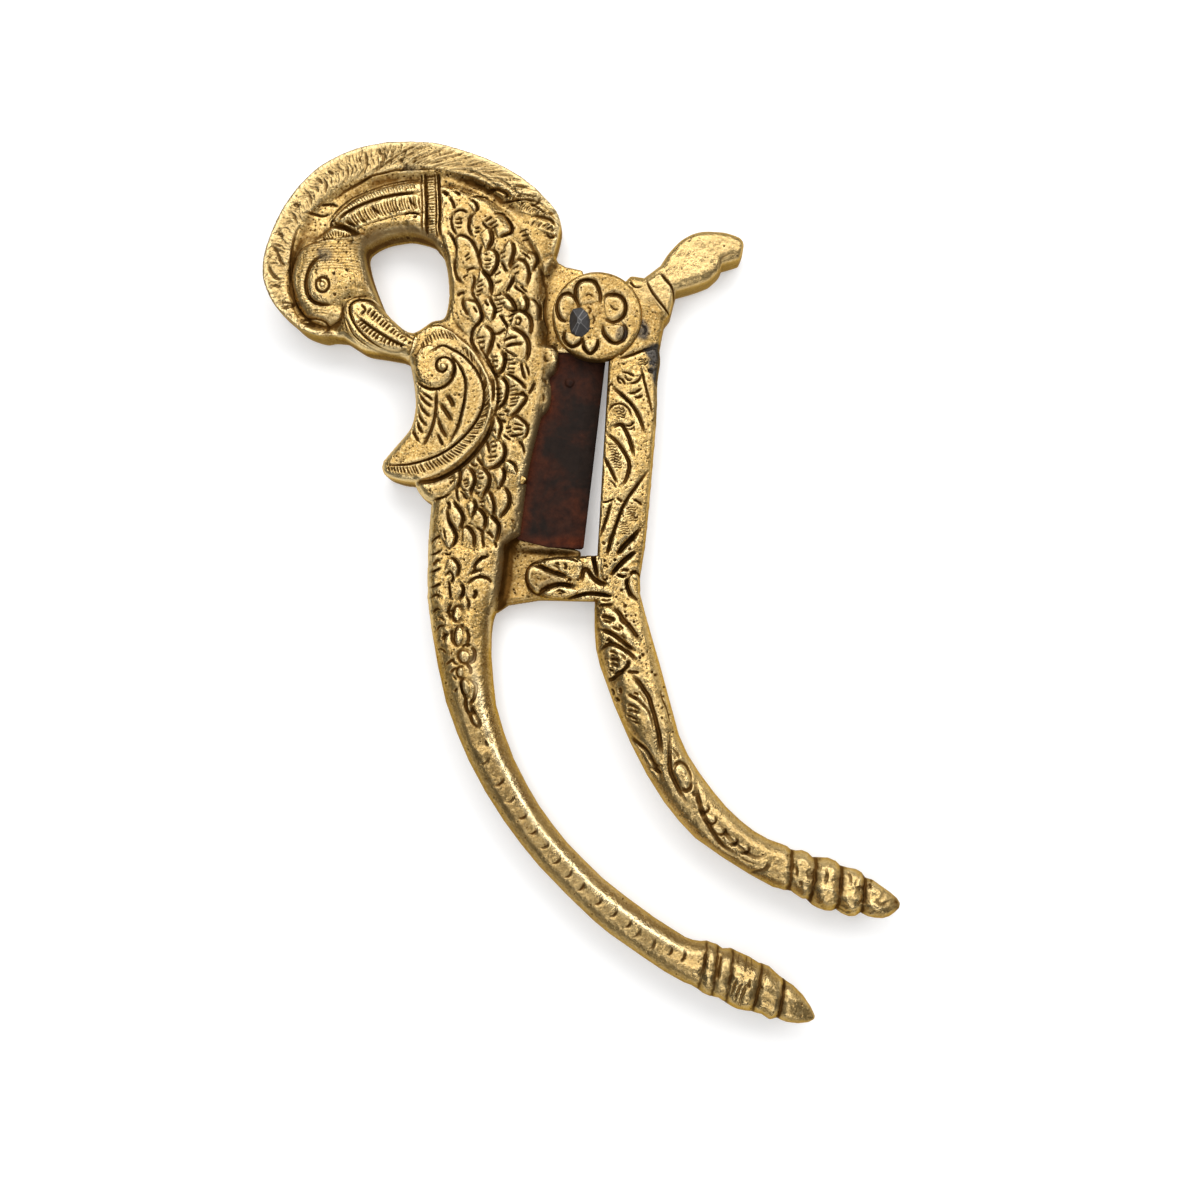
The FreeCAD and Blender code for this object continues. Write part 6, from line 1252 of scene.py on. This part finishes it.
carve(anv, [
    (4.4, -0.55, [(611, 606.6), (618, 612), (624, 620), (630, 627), (636, 635), (640.5, 641)]),
    (4.6, -0.6, [(600, 615.6), (606, 617), (610, 618.4), (616, 620.4)]), (3.2, -0.4, [(602, 619.6), (607, 621.2), (612, 622.4)]),
    (2.6, -0.35, [(619, 625), (621, 627), (623, 629.6)]), (3.4, -0.4, [(612, 627), (617, 629), (621, 630.4)]), (2.6, -0.35, [(620, 617), (622, 622), (626, 624)]),
    (5.4, -0.7, [(598.6, 628.6), (606, 631), (614, 635), (622, 641), (630, 648), (637.5, 652.4)]),
    (4.4, -0.5, [(606, 639), (609, 640.4), (612, 643)]), (3.0, -0.35, [(620, 635), (623, 637), (625, 639)]),
    (4.6, -0.6, [(599.6, 650.6), (605, 646), (612, 644), (620, 647), (628, 652), (633, 657), (637, 662.5)]),
    (3.4, -0.42, [(609, 651), (613, 652), (618, 655)]), (4.2, -0.5, [(608.6, 659), (616, 659.6), (620.4, 661)]), (4.0, -0.5, [(609.6, 664), (615, 665), (619, 667.2)]),
    (3.4, -0.42, [(608.6, 669), (612, 670.6), (615, 671)]), (3.0, -0.36, [(611, 655.4), (615, 656)]), (2.6, -0.3, [(611, 674), (616, 673.4), (620, 671)]),
    (3.6, -0.45, [(629, 659), (627.4, 666), (623, 670.4), (620, 675)]), (4.6, -0.6, [(607.6, 680.4), (614, 678), (619, 673.4), (624, 671.6)]),
    (3.4, -0.42, [(627, 671), (631, 672), (639.5, 672.6)]), (2.6, -0.35, [(620, 654), (624, 657), (626, 661)]),
    (4.6, -0.62, [(629, 672.6), (638, 681), (644, 690), (649, 698), (652, 708), (655, 718), (658, 730), (660, 742), (661.4, 757)]),
    (3.0, -0.4, [(633, 695.6), (640, 702), (648, 710), (652, 720), (654.4, 731)]), (2.4, -0.3, [(638, 690), (644, 698), (648, 705)]),
    (3.6, -0.42, [(627.6, 694), (633, 697), (638.4, 699.4)]), (3.0, -0.38, [(626.6, 704), (633, 706), (639.4, 710)]), (3.0, -0.38, [(626, 710), (633, 711), (639.4, 713.4)]),
    (3.0, -0.38, [(625, 714.4), (632, 717), (638.6, 720.4)]), (2.4, -0.3, [(629, 721), (635, 722), (640.4, 724.4)]), (3.2, -0.4, [(633.6, 692.6), (636, 693.6), (639, 694)]),
    (4.2, -0.45, [(619, 687), (620.6, 691), (619.4, 694)]), (3.4, -0.4, [(616, 697), (618.6, 700), (621, 700)]), (2.2, -0.3, [(611, 688), (614, 692), (613, 696)]),
    (5.0, -0.62, [(630.4, 736.4), (638, 743), (646, 750), (652, 760), (658, 771), (661.4, 781.4)]), (3.2, -0.42, [(650, 768), (656, 770), (662.6, 773.4)]), (2.6, -0.3, [(655, 764), (660, 766), (664, 766)]),
    (4.4, -0.6, [(670, 733), (669.6, 746), (669.6, 758), (670.4, 771), (674.4, 781), (680, 792), (686.6, 804.6)]),
    (2.0, -0.24, [(660.6, 688), (662, 698), (667, 710), (671, 726)]), (3.0, -0.36, [(672, 748), (676, 752), (680, 758.6)]), (2.6, -0.3, [(672, 753), (675, 757), (676, 760)]),
    (3.4, -0.45, [(672.6, 769), (675.6, 764.4), (680, 762), (686, 766), (690, 774), (691.4, 782)]), (4.2, -0.55, [(691.4, 781), (690, 788), (686, 790.4), (680, 788.6)]),
    (4.6, -0.65, [(696, 777), (696, 788), (698, 798), (702, 812), (708, 824), (714, 834), (723.5, 846.4), (737, 855)]), (3.2, -0.4, [(692.6, 791.4), (695, 796.4)]),
    (3.8, -0.5, [(720.4, 824.6), (729.7, 838.6), (742, 849.6), (754.6, 857), (764.4, 856)]), (3.6, -0.45, [(750, 873.4), (764, 869.6), (770.6, 861.4)]),
    (2.0, -0.25, [(739, 856), (746, 861), (756, 864)]),
])
anv.ticks(E_((640, 1015), (720, 1075), (820, 1130), (940, 1196)), 46, 70 / K, w=6 / K, h=-0.13, slant=55, dirt=0.2)
for x, y, r in ((652, 672, 0.3), (655, 675, 0.36), (664, 687, 0.28), (662, 708, 0.25), (662, 718, 0.25), (673, 732, 0.25), (643, 655, 0.4), (640, 658, 0.3)):
    anv.pit(*anv.pts([(x, y), (x, y)])[0], r, 0.4)

# ring grooves of both finials, cut square to the axis all over the turned part
def beads(F, cuts, z=5.0):
    for (p, q), wd, dp in cuts:
        a, b = P([p, q], z)
        m = (a + b) / 2
        u = (b - a) / np.hypot(*(b - a))
        n_ = np.array([-u[1], u[0]])
        w = F.window(np.array([a, b]), 2.5)
        X = F.x[w[1]][None, :] - m[0]; Y = F.y[w[0]][:, None] - m[1]
        s = X * n_[0] + Y * n_[1]; l = X * u[0] + Y * u[1]
        L = np.hypot(*(b - a)) / 2 + 1.2
        s = s + 0.05 * np.sin(l * 2.3 + wd * 9) - 0.03 * np.sin(l * 5.1)
        k = np.exp(-(s / (0.58 * wd)) ** 2) * (np.abs(l) < L)
        sharp = np.clip(1 - np.abs(s) / (0.26 * wd), 0, 1) * (np.abs(l) < L)
        F.top[w] += dp * (0.86 * k + 0.30 * sharp)
        F.bot[w] -= dp * (0.86 * k + 0.30 * sharp)
        F.dirt[w] = np.maximum(F.dirt[w], 0.62 * np.exp(-(s / (0.34 * wd)) ** 2) * (np.abs(l) < L))


def facets(F, p, amp, size, seed):
    """Hammered flats: the cast skin dented in small planes."""
    r = np.random.default_rng(seed)
    q = F.pts(p, True, 4, z=5.0)
    w, d = F.signed(q, 2.0)
    X = F.x[w[1]][None, :] + 0 * d; Y = F.y[w[0]][:, None] + 0 * d
    lo, hi = q.min(0), q.max(0)
    n = max(int((hi[0] - lo[0]) * (hi[1] - lo[1]) / size ** 2), 4)
    best = np.full_like(d, 1e9); val = np.zeros_like(d)
    for _ in range(n):
        c = r.uniform(lo, hi); g = r.normal(0, 0.16, 2); o = r.normal(0, 0.5)
        D = (X - c[0]) ** 2 + (Y - c[1]) ** 2
        m = D < best
        best[m] = D[m]; val[m] = (o * 0.1 + g[0] * (X - c[0]) + g[1] * (Y - c[1]))[m]
    val = F.blur(val, 0.16)
    F.top[w] += amp * np.clip(val, -0.5, 0.5) * sstep(0, 0.6, d)


facets(anv, [(788, 846), (815, 853), (845, 864), (868, 876), (900, 903), (890, 918), (860, 918), (830, 912), (784, 893)], 0.6, 1.5, 11)
facets(bird, [(345, 238), (362, 228), (385, 220), (410, 218), (432, 222), (446, 240), (440, 252), (425, 238), (400, 234), (378, 240), (364, 252), (352, 250)], 0.9, 1.1, 21)
facets(bird, [(705, 940), (735, 949), (765, 962), (785, 978), (752, 1014), (725, 1004), (696, 988)], 0.3, 1.6, 12)
beads(anv, ((((791.6, 846), (788, 892)), 1.5, -0.62), (((816, 855), (809, 899)), 1.9, -0.85), (((842, 862), (835, 912)), 1.9, -0.85), (((865, 874), (860, 916)), 1.9, -0.9)))
beads(bird, ((((707, 942), (698, 986)), 1.3, -0.5), (((718, 944), (711, 997)), 1.3, -0.62), (((733, 949), (725, 1002)), 1.5, -0.68), (((762, 962), (751, 1013)), 1.5, -0.75), (((784, 979), (777, 1019)), 1.5, -0.75)))
carve(anv, [(2.4, -0.25, [(796, 866), (797, 872), (796, 878)]), (2.6, -0.4, [(800, 880), (801, 886)]), (3.0, -0.4, [(826, 868), (827, 876), (824, 884)]), (3.4, -0.5, [(872, 884), (876, 881), (880, 884)]), (2.4, -0.35, [(871, 884), (872, 890)]),
            (2.6, -0.3, [(838, 908), (846, 912), (852, 912)]), (2.6, -0.3, [(848, 872), (851, 878), (850, 886)]), (2.6, -0.3, [(876, 900), (882, 905), (888, 903)])])
carve(bird, [(2.4, -0.4, [(736, 978), (733, 988), (731, 996)]), (2.4, -0.4, [(741, 982), (737, 992), (735, 1000)]), (2.8, -0.45, [(746, 985), (742, 994), (740, 1003)]), (2.4, -0.4, [(750, 978), (748, 988)]), (2.0, -0.35, [(748, 957), (746, 966), (745, 972)]),
             (2.0, -0.3, [(753, 960), (751, 968)]), (2.0, -0.3, [(740, 956), (738, 964)]), (2.4, -0.4, [(784, 980), (786, 986), (783, 992)]), (2.0, -0.3, [(722, 955), (719, 968), (717, 980)]), (2.0, -0.3, [(706, 955), (704, 968)])])
ANV_OB_TOP = None

# front disc with its rosette
disc = Field((-5.4, 42.0, 14.2, 61.8), 0.11)
disc.add_outline(circle(DISC, 9.05, 160), 10.0)
disc.top[:] = 9.15; disc.bot[:] = 6.4
disc.er[:] = 1.1; disc.eh[:] = 1.0
disc.ber = np.full_like(disc.top, 0.4); disc.beh = np.full_like(disc.top, 0.2)
disc.zref = 9.1
d_ = disc.sd
disc.top += (0.12 - 0.12 * sstep(0.5, 5, d_)).astype(np.float32)
PETALS = (
    [(232, 345), (216, 300), (222, 255), (250, 234), (288, 238), (306, 262), (316, 300), (312, 330)],
    [(322, 306), (352, 290), (392, 296), (414, 330), (406, 376), (368, 400), (330, 388)],
    [(322, 412), (330, 450), (368, 482), (408, 466), (414, 424), (398, 404)],
    [(306, 462), (300, 500), (274, 524), (250, 500), (248, 470)],
    [(176, 432), (172, 470), (204, 496), (238, 478), (244, 456)],
    [(222, 312), (192, 286), (156, 300), (142, 345), (158, 388), (186, 398)],
)
for p in PETALS:
    c = np.mean(p, 0)
    inner = [tuple(c + 0.80 * (np.array(q) - c)) for q in p]
    disc.dome(S_(*inner), 0.22, 0.9)
    disc.stroke(S_(*p), 15.0 / K6, -0.55, taper=0.22)
disc.dome(S_(*[(272 + 38 * math.cos(t), 350 + 42 * math.sin(t)) for t in np.linspace(0, 6.28, 9)[:-1]]), 0.18, 0.9)
for p in ([(262, 340), (276, 352), (270, 372)], [(284, 372), (290, 392), (284, 410)], [(350, 330), (368, 350), (388, 352)], [(256, 300), (272, 292), (286, 304)]):
    disc.stroke(S_(*p), 7.0 / K6, -0.2)

# rear cheek of the hinge
cheek = Field((-7.4, 40.0, 14.6, 60.6), 0.22)
w, d = cheek.signed(ANVIL, 14.0)
bar = np.full_like(cheek.sd, -9.0); bar[w] = d
w, d = cheek.signed(circle(PIVOT, 10.2), 12.0)
rr = np.full_like(cheek.sd, -9.0); rr[w] = d
cheek.sd = np.minimum(bar, rr) - 0.05
cheek.add_outline(circle(PIVOT, 7.5), 8.0)
cheek.top[:] = 3.0
cheek.bot[:] = 0.6
cheek.bot[np.hypot(cheek.x[None, :] - PIVOT[0], cheek.y[:, None] - PIVOT[1]) < 7.9] = 1.5
cheek.er[:] = 0.3; cheek.eh[:] = 0.15
cheek.ber = np.full_like(cheek.top, 0.6); cheek.beh = np.full_like(cheek.top, 0.5)

# ------------------------------------------------------------------ blade
blade = Field((-16.0, 3.6, 8.0, 46.6), 0.2)
blade.add_outline(BLADE, 6.0)
blade.top[:] = 5.5; blade.bot[:] = 3.9
blade.er[:] = 0.25; blade.eh[:] = 0.18
blade.ber = np.full_like(blade.top, 0.25); blade.beh = np.full_like(blade.top, 0.18)
w, D, _ = blade.dist(BLADE[:2], 4.0)
blade.top[w] -= (1.2 * np.clip(1 - D / 3.0, 0, 1)).astype(np.float32)
blade.extra = {"rust": np.zeros_like(blade.top)}


# ----------------------------------------------------------- cast surface
def surface(F, seed, pits, amp=0.05, region=None):
    """Hand-cast unevenness and small casting pits."""
    r = np.random.default_rng(seed)
    for mm_, a in ((2.4, amp * 0.45), (0.75, amp * 0.45), (0.3, amp * 0.42), (0.13, amp * 0.2)):
        n = r.standard_normal(F.top.shape).astype(np.float32)
        n = F.blur(n, mm_)
        n /= n[F.sd > 0].std() + 1e-6
        F.top += a * np.clip(n, -2.2, 2.2)
    J, I = np.nonzero(F.sd > 0.5)
    for _ in range(pits):
        k = r.integers(len(J))
        if F is anv and F.y[J[k]] > 53 and F.x[I[k]] > 12 and r.random() < 0.86:
            continue
        if F.y[J[k]] < -18 and r.random() < 0.72:
            continue
        F.pit(F.x[I[k]] + F.h * r.uniform(-.5, .5), F.y[J[k]] + F.h * r.uniform(-.5, .5), 0.10 + 0.16 * r.random() ** 2.2, 0.10 + 0.14 * r.random())


surface(bird, 3, 4200)
surface(anv, 4, 1700)
surface(disc, 5, 170, 0.045)
surface(cheek, 6, 5, 0.03)
surface(blade, 7, 40, 0.02)
# the disc swings clear of the bird's flank when the cutter is fully open
a = math.radians(36)
ox, oy = DISC[0] - PIVOT[0], DISC[1] - PIVOT[1]
sx_, sy_ = PIVOT[0] + ox * math.cos(a) - oy * math.sin(a), PIVOT[1] + ox * math.sin(a) + oy * math.cos(a)
d_ = np.hypot(bird.x[None, :] - sx_, bird.y[:, None] - sy_)
near = (d_ < 9.8) & (bird.x[None, :] < -4.5)
bird.top[near] = np.minimum(bird.top[near], 6.18 + 3.0 * np.clip(d_[near] - 9.3, 0, None))
for F in (bird, anv):
    # the lower grips are duller
    F.extra["olive"] = (1 - sstep(-52, -8, F.y[:, None] + 0 * F.top)) * 0.35
w, f = CREST
bird.extra["olive"][w] = np.maximum(bird.extra["olive"][w], 0.42 * f)
bird.dirt[w] = np.maximum(bird.dirt[w], np.maximum(0.20 * f, 0.60 * f * sstep(0.45, 0.05, bs[w])))
anv.extra["olive"] += 0.45 * sstep(53, 56, anv.y[:, None]) * sstep(11, 14, anv.x[None, :])
# painted shade on the bird's side walls, darker inside the hole
bird.side = lambda x, y: 0.70 + 0.40 * (np.hypot(x + 34.2, y - 58.7) < 12)
anv.patina([(645, 348), (664, 344), (662, 375), (657, 388), (650, 372), (648, 358)], 1.0, 0.7)
anv.patina([(633, 322), (642, 318), (650, 330), (646, 340), (636, 336)], 0.7, 0.6)
anv.patina([(655, 380), (660, 380), (658, 420), (654, 420)], 0.6, 0.5)
disc.stain_and_shade([(560, 270), (600, 258), (640, 280), (650, 320), (630, 360), (590, 372), (556, 350), (550, 310)], 0.24, 2.0)
anv.stain_and_shade([(636, 285), (646, 283), (662, 300), (668, 322), (660, 345), (640, 345), (632, 320)], 0.26, 1.5)
disc.patina([(616, 330), (624, 326), (628, 333), (622, 340), (616, 338)], 0.6, 0.4)
disc.patina([(590, 267), (600, 266), (604, 270), (594, 272)], 0.4, 0.4)
bird.patina([(404, 166), (414, 164), (420, 170), (408, 172)], 0.3, 0.5)
w = blade.window(np.array([[-20, 0], [9, 50]]), 1)
e1 = np.clip(1 - np.abs(np.clip(bird.sample(bs, *[g.ravel() for g in np.meshgrid(blade.x.astype(float), blade.y.astype(float))]).reshape(blade.top.shape), -9, 9)) / 2.2, 0, 1)
e2 = np.clip(1 - np.abs(blade.y[:, None] - 6.5) / 1.8, 0, 1)
blade.extra["rust"] = np.clip(np.maximum(e1, e2 + 0 * e1), 0, 1) * 0.9

bird.mesh("bird_casting", BRASS, "bird_half", ["bird_arm"])
anv.mesh("anvil_casting", BRASS, "anvil_half", ["anvil_arm"])
disc.mesh("rosette_disc", BRASS, "anvil_half", ["anvil_arm"])
cheek.mesh("hinge_cheek", BRASS, "anvil_half", ["anvil_arm"])
blade.mesh("blade_plate", IRON, "bird_half", ["cutting_blade"])


def lathe(name, c, prof, material, body, nodes, n=40, rough=0.03, seed=1, flat=False):
    """Turned or hammered solid about an upright axis; profile of (r, z) in mm."""
    r_ = np.random.default_rng(seed)
    ph = r_.uniform(0, 6.28, 5)
    V, Fc = [], []
    for r, z in prof:
        for k in range(n):
            a = 2 * math.pi * k / n
            wob = 1 + rough * (math.sin(2 * a + ph[0]) + 0.6 * math.sin(3 * a + ph[1]) + 0.5 * math.sin(5 * a + ph[2] + z))
            V.append(((c[0] + r * wob * math.cos(a)) / 1000, (c[1] + r * wob * math.sin(a)) / 1000, z / 1000))
    m_ = len(prof)
    for i in range(m_ - 1):
        for k in range(n):
            a, b = i * n + k, i * n + (k + 1) % n
            Fc.append((a, b, b + n, a + n))
    V.append((c[0] / 1000, c[1] / 1000, prof[0][1] / 1000)); V.append((c[0] / 1000, c[1] / 1000, prof[-1][1] / 1000))
    lo, hi = len(V) - 2, len(V) - 1
    for k in range(n):
        Fc.append((lo, (k + 1) % n, k))
        Fc.append((hi, (m_ - 1) * n + k, (m_ - 1) * n + (k + 1) % n))
    me = bpy.data.meshes.new(name)
    me.from_pydata(V, [], Fc)
    me.polygons.foreach_set("use_smooth", [not flat] * len(me.polygons))
    ob = bpy.data.objects.new(name, me)
    bpy.context.collection.objects.link(ob)
    me.materials.append(material)
    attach(ob, body)
    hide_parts(*nodes)
    return ob


# hammered head of the hinge rivet
head = Field((-3.2, 45.6, 4.8, 55.0), 0.09)
oct_ = [(-0.9, 3.0), (0.8, 3.05), (1.9, 1.7), (2.2, 0.1), (1.95, -1.7), (0.9, -3.0), (-0.8, -2.95), (-2.0, -1.6), (-2.2, 0.3), (-1.8, 1.9)]
ca, sa = math.cos(math.radians(8)), math.sin(math.radians(8))
head.add_outline(np.array([(PIVOT[0] + ca * x - sa * y, PIVOT[1] + sa * x + ca * y) for x, y in oct_]), 4.0)
hx = head.x[None, :] - PIVOT[0]; hy = head.y[:, None] - PIVOT[1]
pl = [10.72 + 0 * hx + 0 * hy]
for a, s, c0 in ((96, 0.50, 11.02), (175, 0.85, 10.98), (232, 0.42, 10.90), (300, 0.72, 11.10), (352, 0.80, 11.05), (48, 0.42, 10.86)):
    t = math.radians(a)
    pl.append(c0 - s * (hx * math.cos(t) + hy * math.sin(t)))
pl = np.sort(np.array(pl), axis=0)
head.top[:] = pl[0]
head.bot[:] = 8.9
head.er[:] = 0.35; head.eh[:] = 0.3
head.ber = np.full_like(head.top, 0.1); head.beh = np.full_like(head.top, 0.05)
# facet ridges of the head, where the pale edge wear and painted glint go
head.extra = {"rust": 0 * head.top, "edge": np.exp(-((pl[1] - pl[0]) / 0.05) ** 2)}
head.mesh("rivet_head", STEEL, "anvil_half", ["pivot_rivet"], d0=0.25, wall=3)
lathe("rivet_tail", PIVOT, [(1.9, 6.6), (1.95, 1.2), (1.95, 0.78), (2.9, 0.74), (3.0, 0.45), (2.7, 0.2), (1.6, 0.1)][::-1], STEEL, "anvil_half", ["pivot_rivet"], seed=5)
lathe("rivet_washer", PIVOT, [(2.0, 0.82), (4.05, 0.82), (4.28, 0.95), (4.28, 1.35), (4.05, 1.48), (2.0, 1.48)], STEEL, "anvil_half", ["rivet_washer"], n=56, rough=0.012, seed=6)
R1 = mm([(-1.14, 38.40)])[0]; R2 = mm([(-10.49, 18.21)])[0]
r1 = lathe("blade_rivets", R1, [(0.8, 1.85), (0.9, 5.4), (0.98, 5.52), (0.9, 5.72), (0.55, 5.88), (0.2, 5.93)], IRON, "bird_half", ["blade_rivets"], n=24, seed=8)
r2 = lathe("border_rivet", R2, [(0.75, 0.05), (0.9, 0.2), (0.9, 8.2), (0.8, 8.42), (0.5, 8.52)], BRASS, "bird_half", ["blade_rivets"], n=24, seed=9)



# ------------------------------------------------------------ floor and light
def plane(name, size, z, m):
    me = bpy.data.meshes.new(name)
    s = size / 2
    me.from_pydata([(-s, -s, z), (s, -s, z), (s, s, z), (-s, s, z)], [], [(0, 1, 2, 3)])
    o = bpy.data.objects.new(name, me)
    bpy.context.collection.objects.link(o)
    o.data.materials.append(m)
    return o


m, nt, bs = mat("paper_floor")
bs.inputs["Base Color"].default_value = (0.76, 0.76, 0.76, 1)
bs.inputs["Roughness"].default_value = 0.9
bs.inputs["Specular IOR Level"].default_value = 0.1
bs.inputs["Emission Color"].default_value = (1, 1, 1, 1)
bs.inputs["Emission Strength"].default_value = 0.27
plane("floor", 3.0, -0.0002, m)

world = bpy.data.worlds.new("studio")
bpy.context.scene.world = world
world.use_nodes = True
wt = world.node_tree
wt.nodes.clear()
wo = wt.nodes.new("ShaderNodeOutputWorld")
bg = wt.nodes.new("ShaderNodeBackground")
wt.links.new(bg.outputs[0], wo.inputs[0])
tc = wt.nodes.new("ShaderNodeTexCoord")
sx = wt.nodes.new("ShaderNodeSeparateXYZ")
wt.links.new(tc.outputs["Generated"], sx.inputs[0])
rp = wt.nodes.new("ShaderNodeValToRGB")
rp.color_ramp.elements[0].position = 0.0; rp.color_ramp.elements[0].color = (0.10, 0.10, 0.105, 1)
rp.color_ramp.elements[1].position = 1.0; rp.color_ramp.elements[1].color = (0.42, 0.42, 0.42, 1)
e = rp.color_ramp.elements.new(0.55); e.color = (0.14, 0.14, 0.14, 1)
wt.links.new(sx.outputs["Z"], rp.inputs["Fac"])
wt.links.new(rp.outputs["Color"], bg.inputs["Color"])
bg.inputs["Strength"].default_value = 1.0
bpy.context.scene.view_settings.view_transform = "Standard"


def light(name, loc, size, power, target=(0, 0.01, 0), sy=None, col=(1, 1, 1)):
    l = bpy.data.lights.new(name, "AREA")
    l.shape = "RECTANGLE"
    l.size = size
    l.size_y = sy or size
    l.energy = power
    l.color = col
    o = bpy.data.objects.new(name, l)
    o.location = loc
    o.rotation_euler = (Vector(target) - Vector(loc)).to_track_quat("-Z", "Y").to_euler()
    bpy.context.collection.objects.link(o)
    return o


light("key", (-0.04, 0.44, 0.45), 0.58, 2.9, sy=0.42)
light("fill", (0.44, 0.24, 0.42), 0.40, 1.9)
light("low", (0.06, -0.56, 0.46), 0.5, 1.5, sy=0.35)
light("top", (-0.20, 0.06, 0.60), 0.32, 1.05)

cam = bpy.data.cameras.new("camera")
cam.lens = 40.0
cam.sensor_width = 36.0
cam.clip_start = 0.01
co = bpy.data.objects.new("camera", cam)
R = np.stack([_x, _y, _u])
co.matrix_world = Matrix([[*R[0], EYE[0] / 1000], [*R[1], EYE[1] / 1000], [*R[2], EYE[2] / 1000], [0, 0, 0, 1]])
bpy.context.collection.objects.link(co)
bpy.context.scene.camera = co
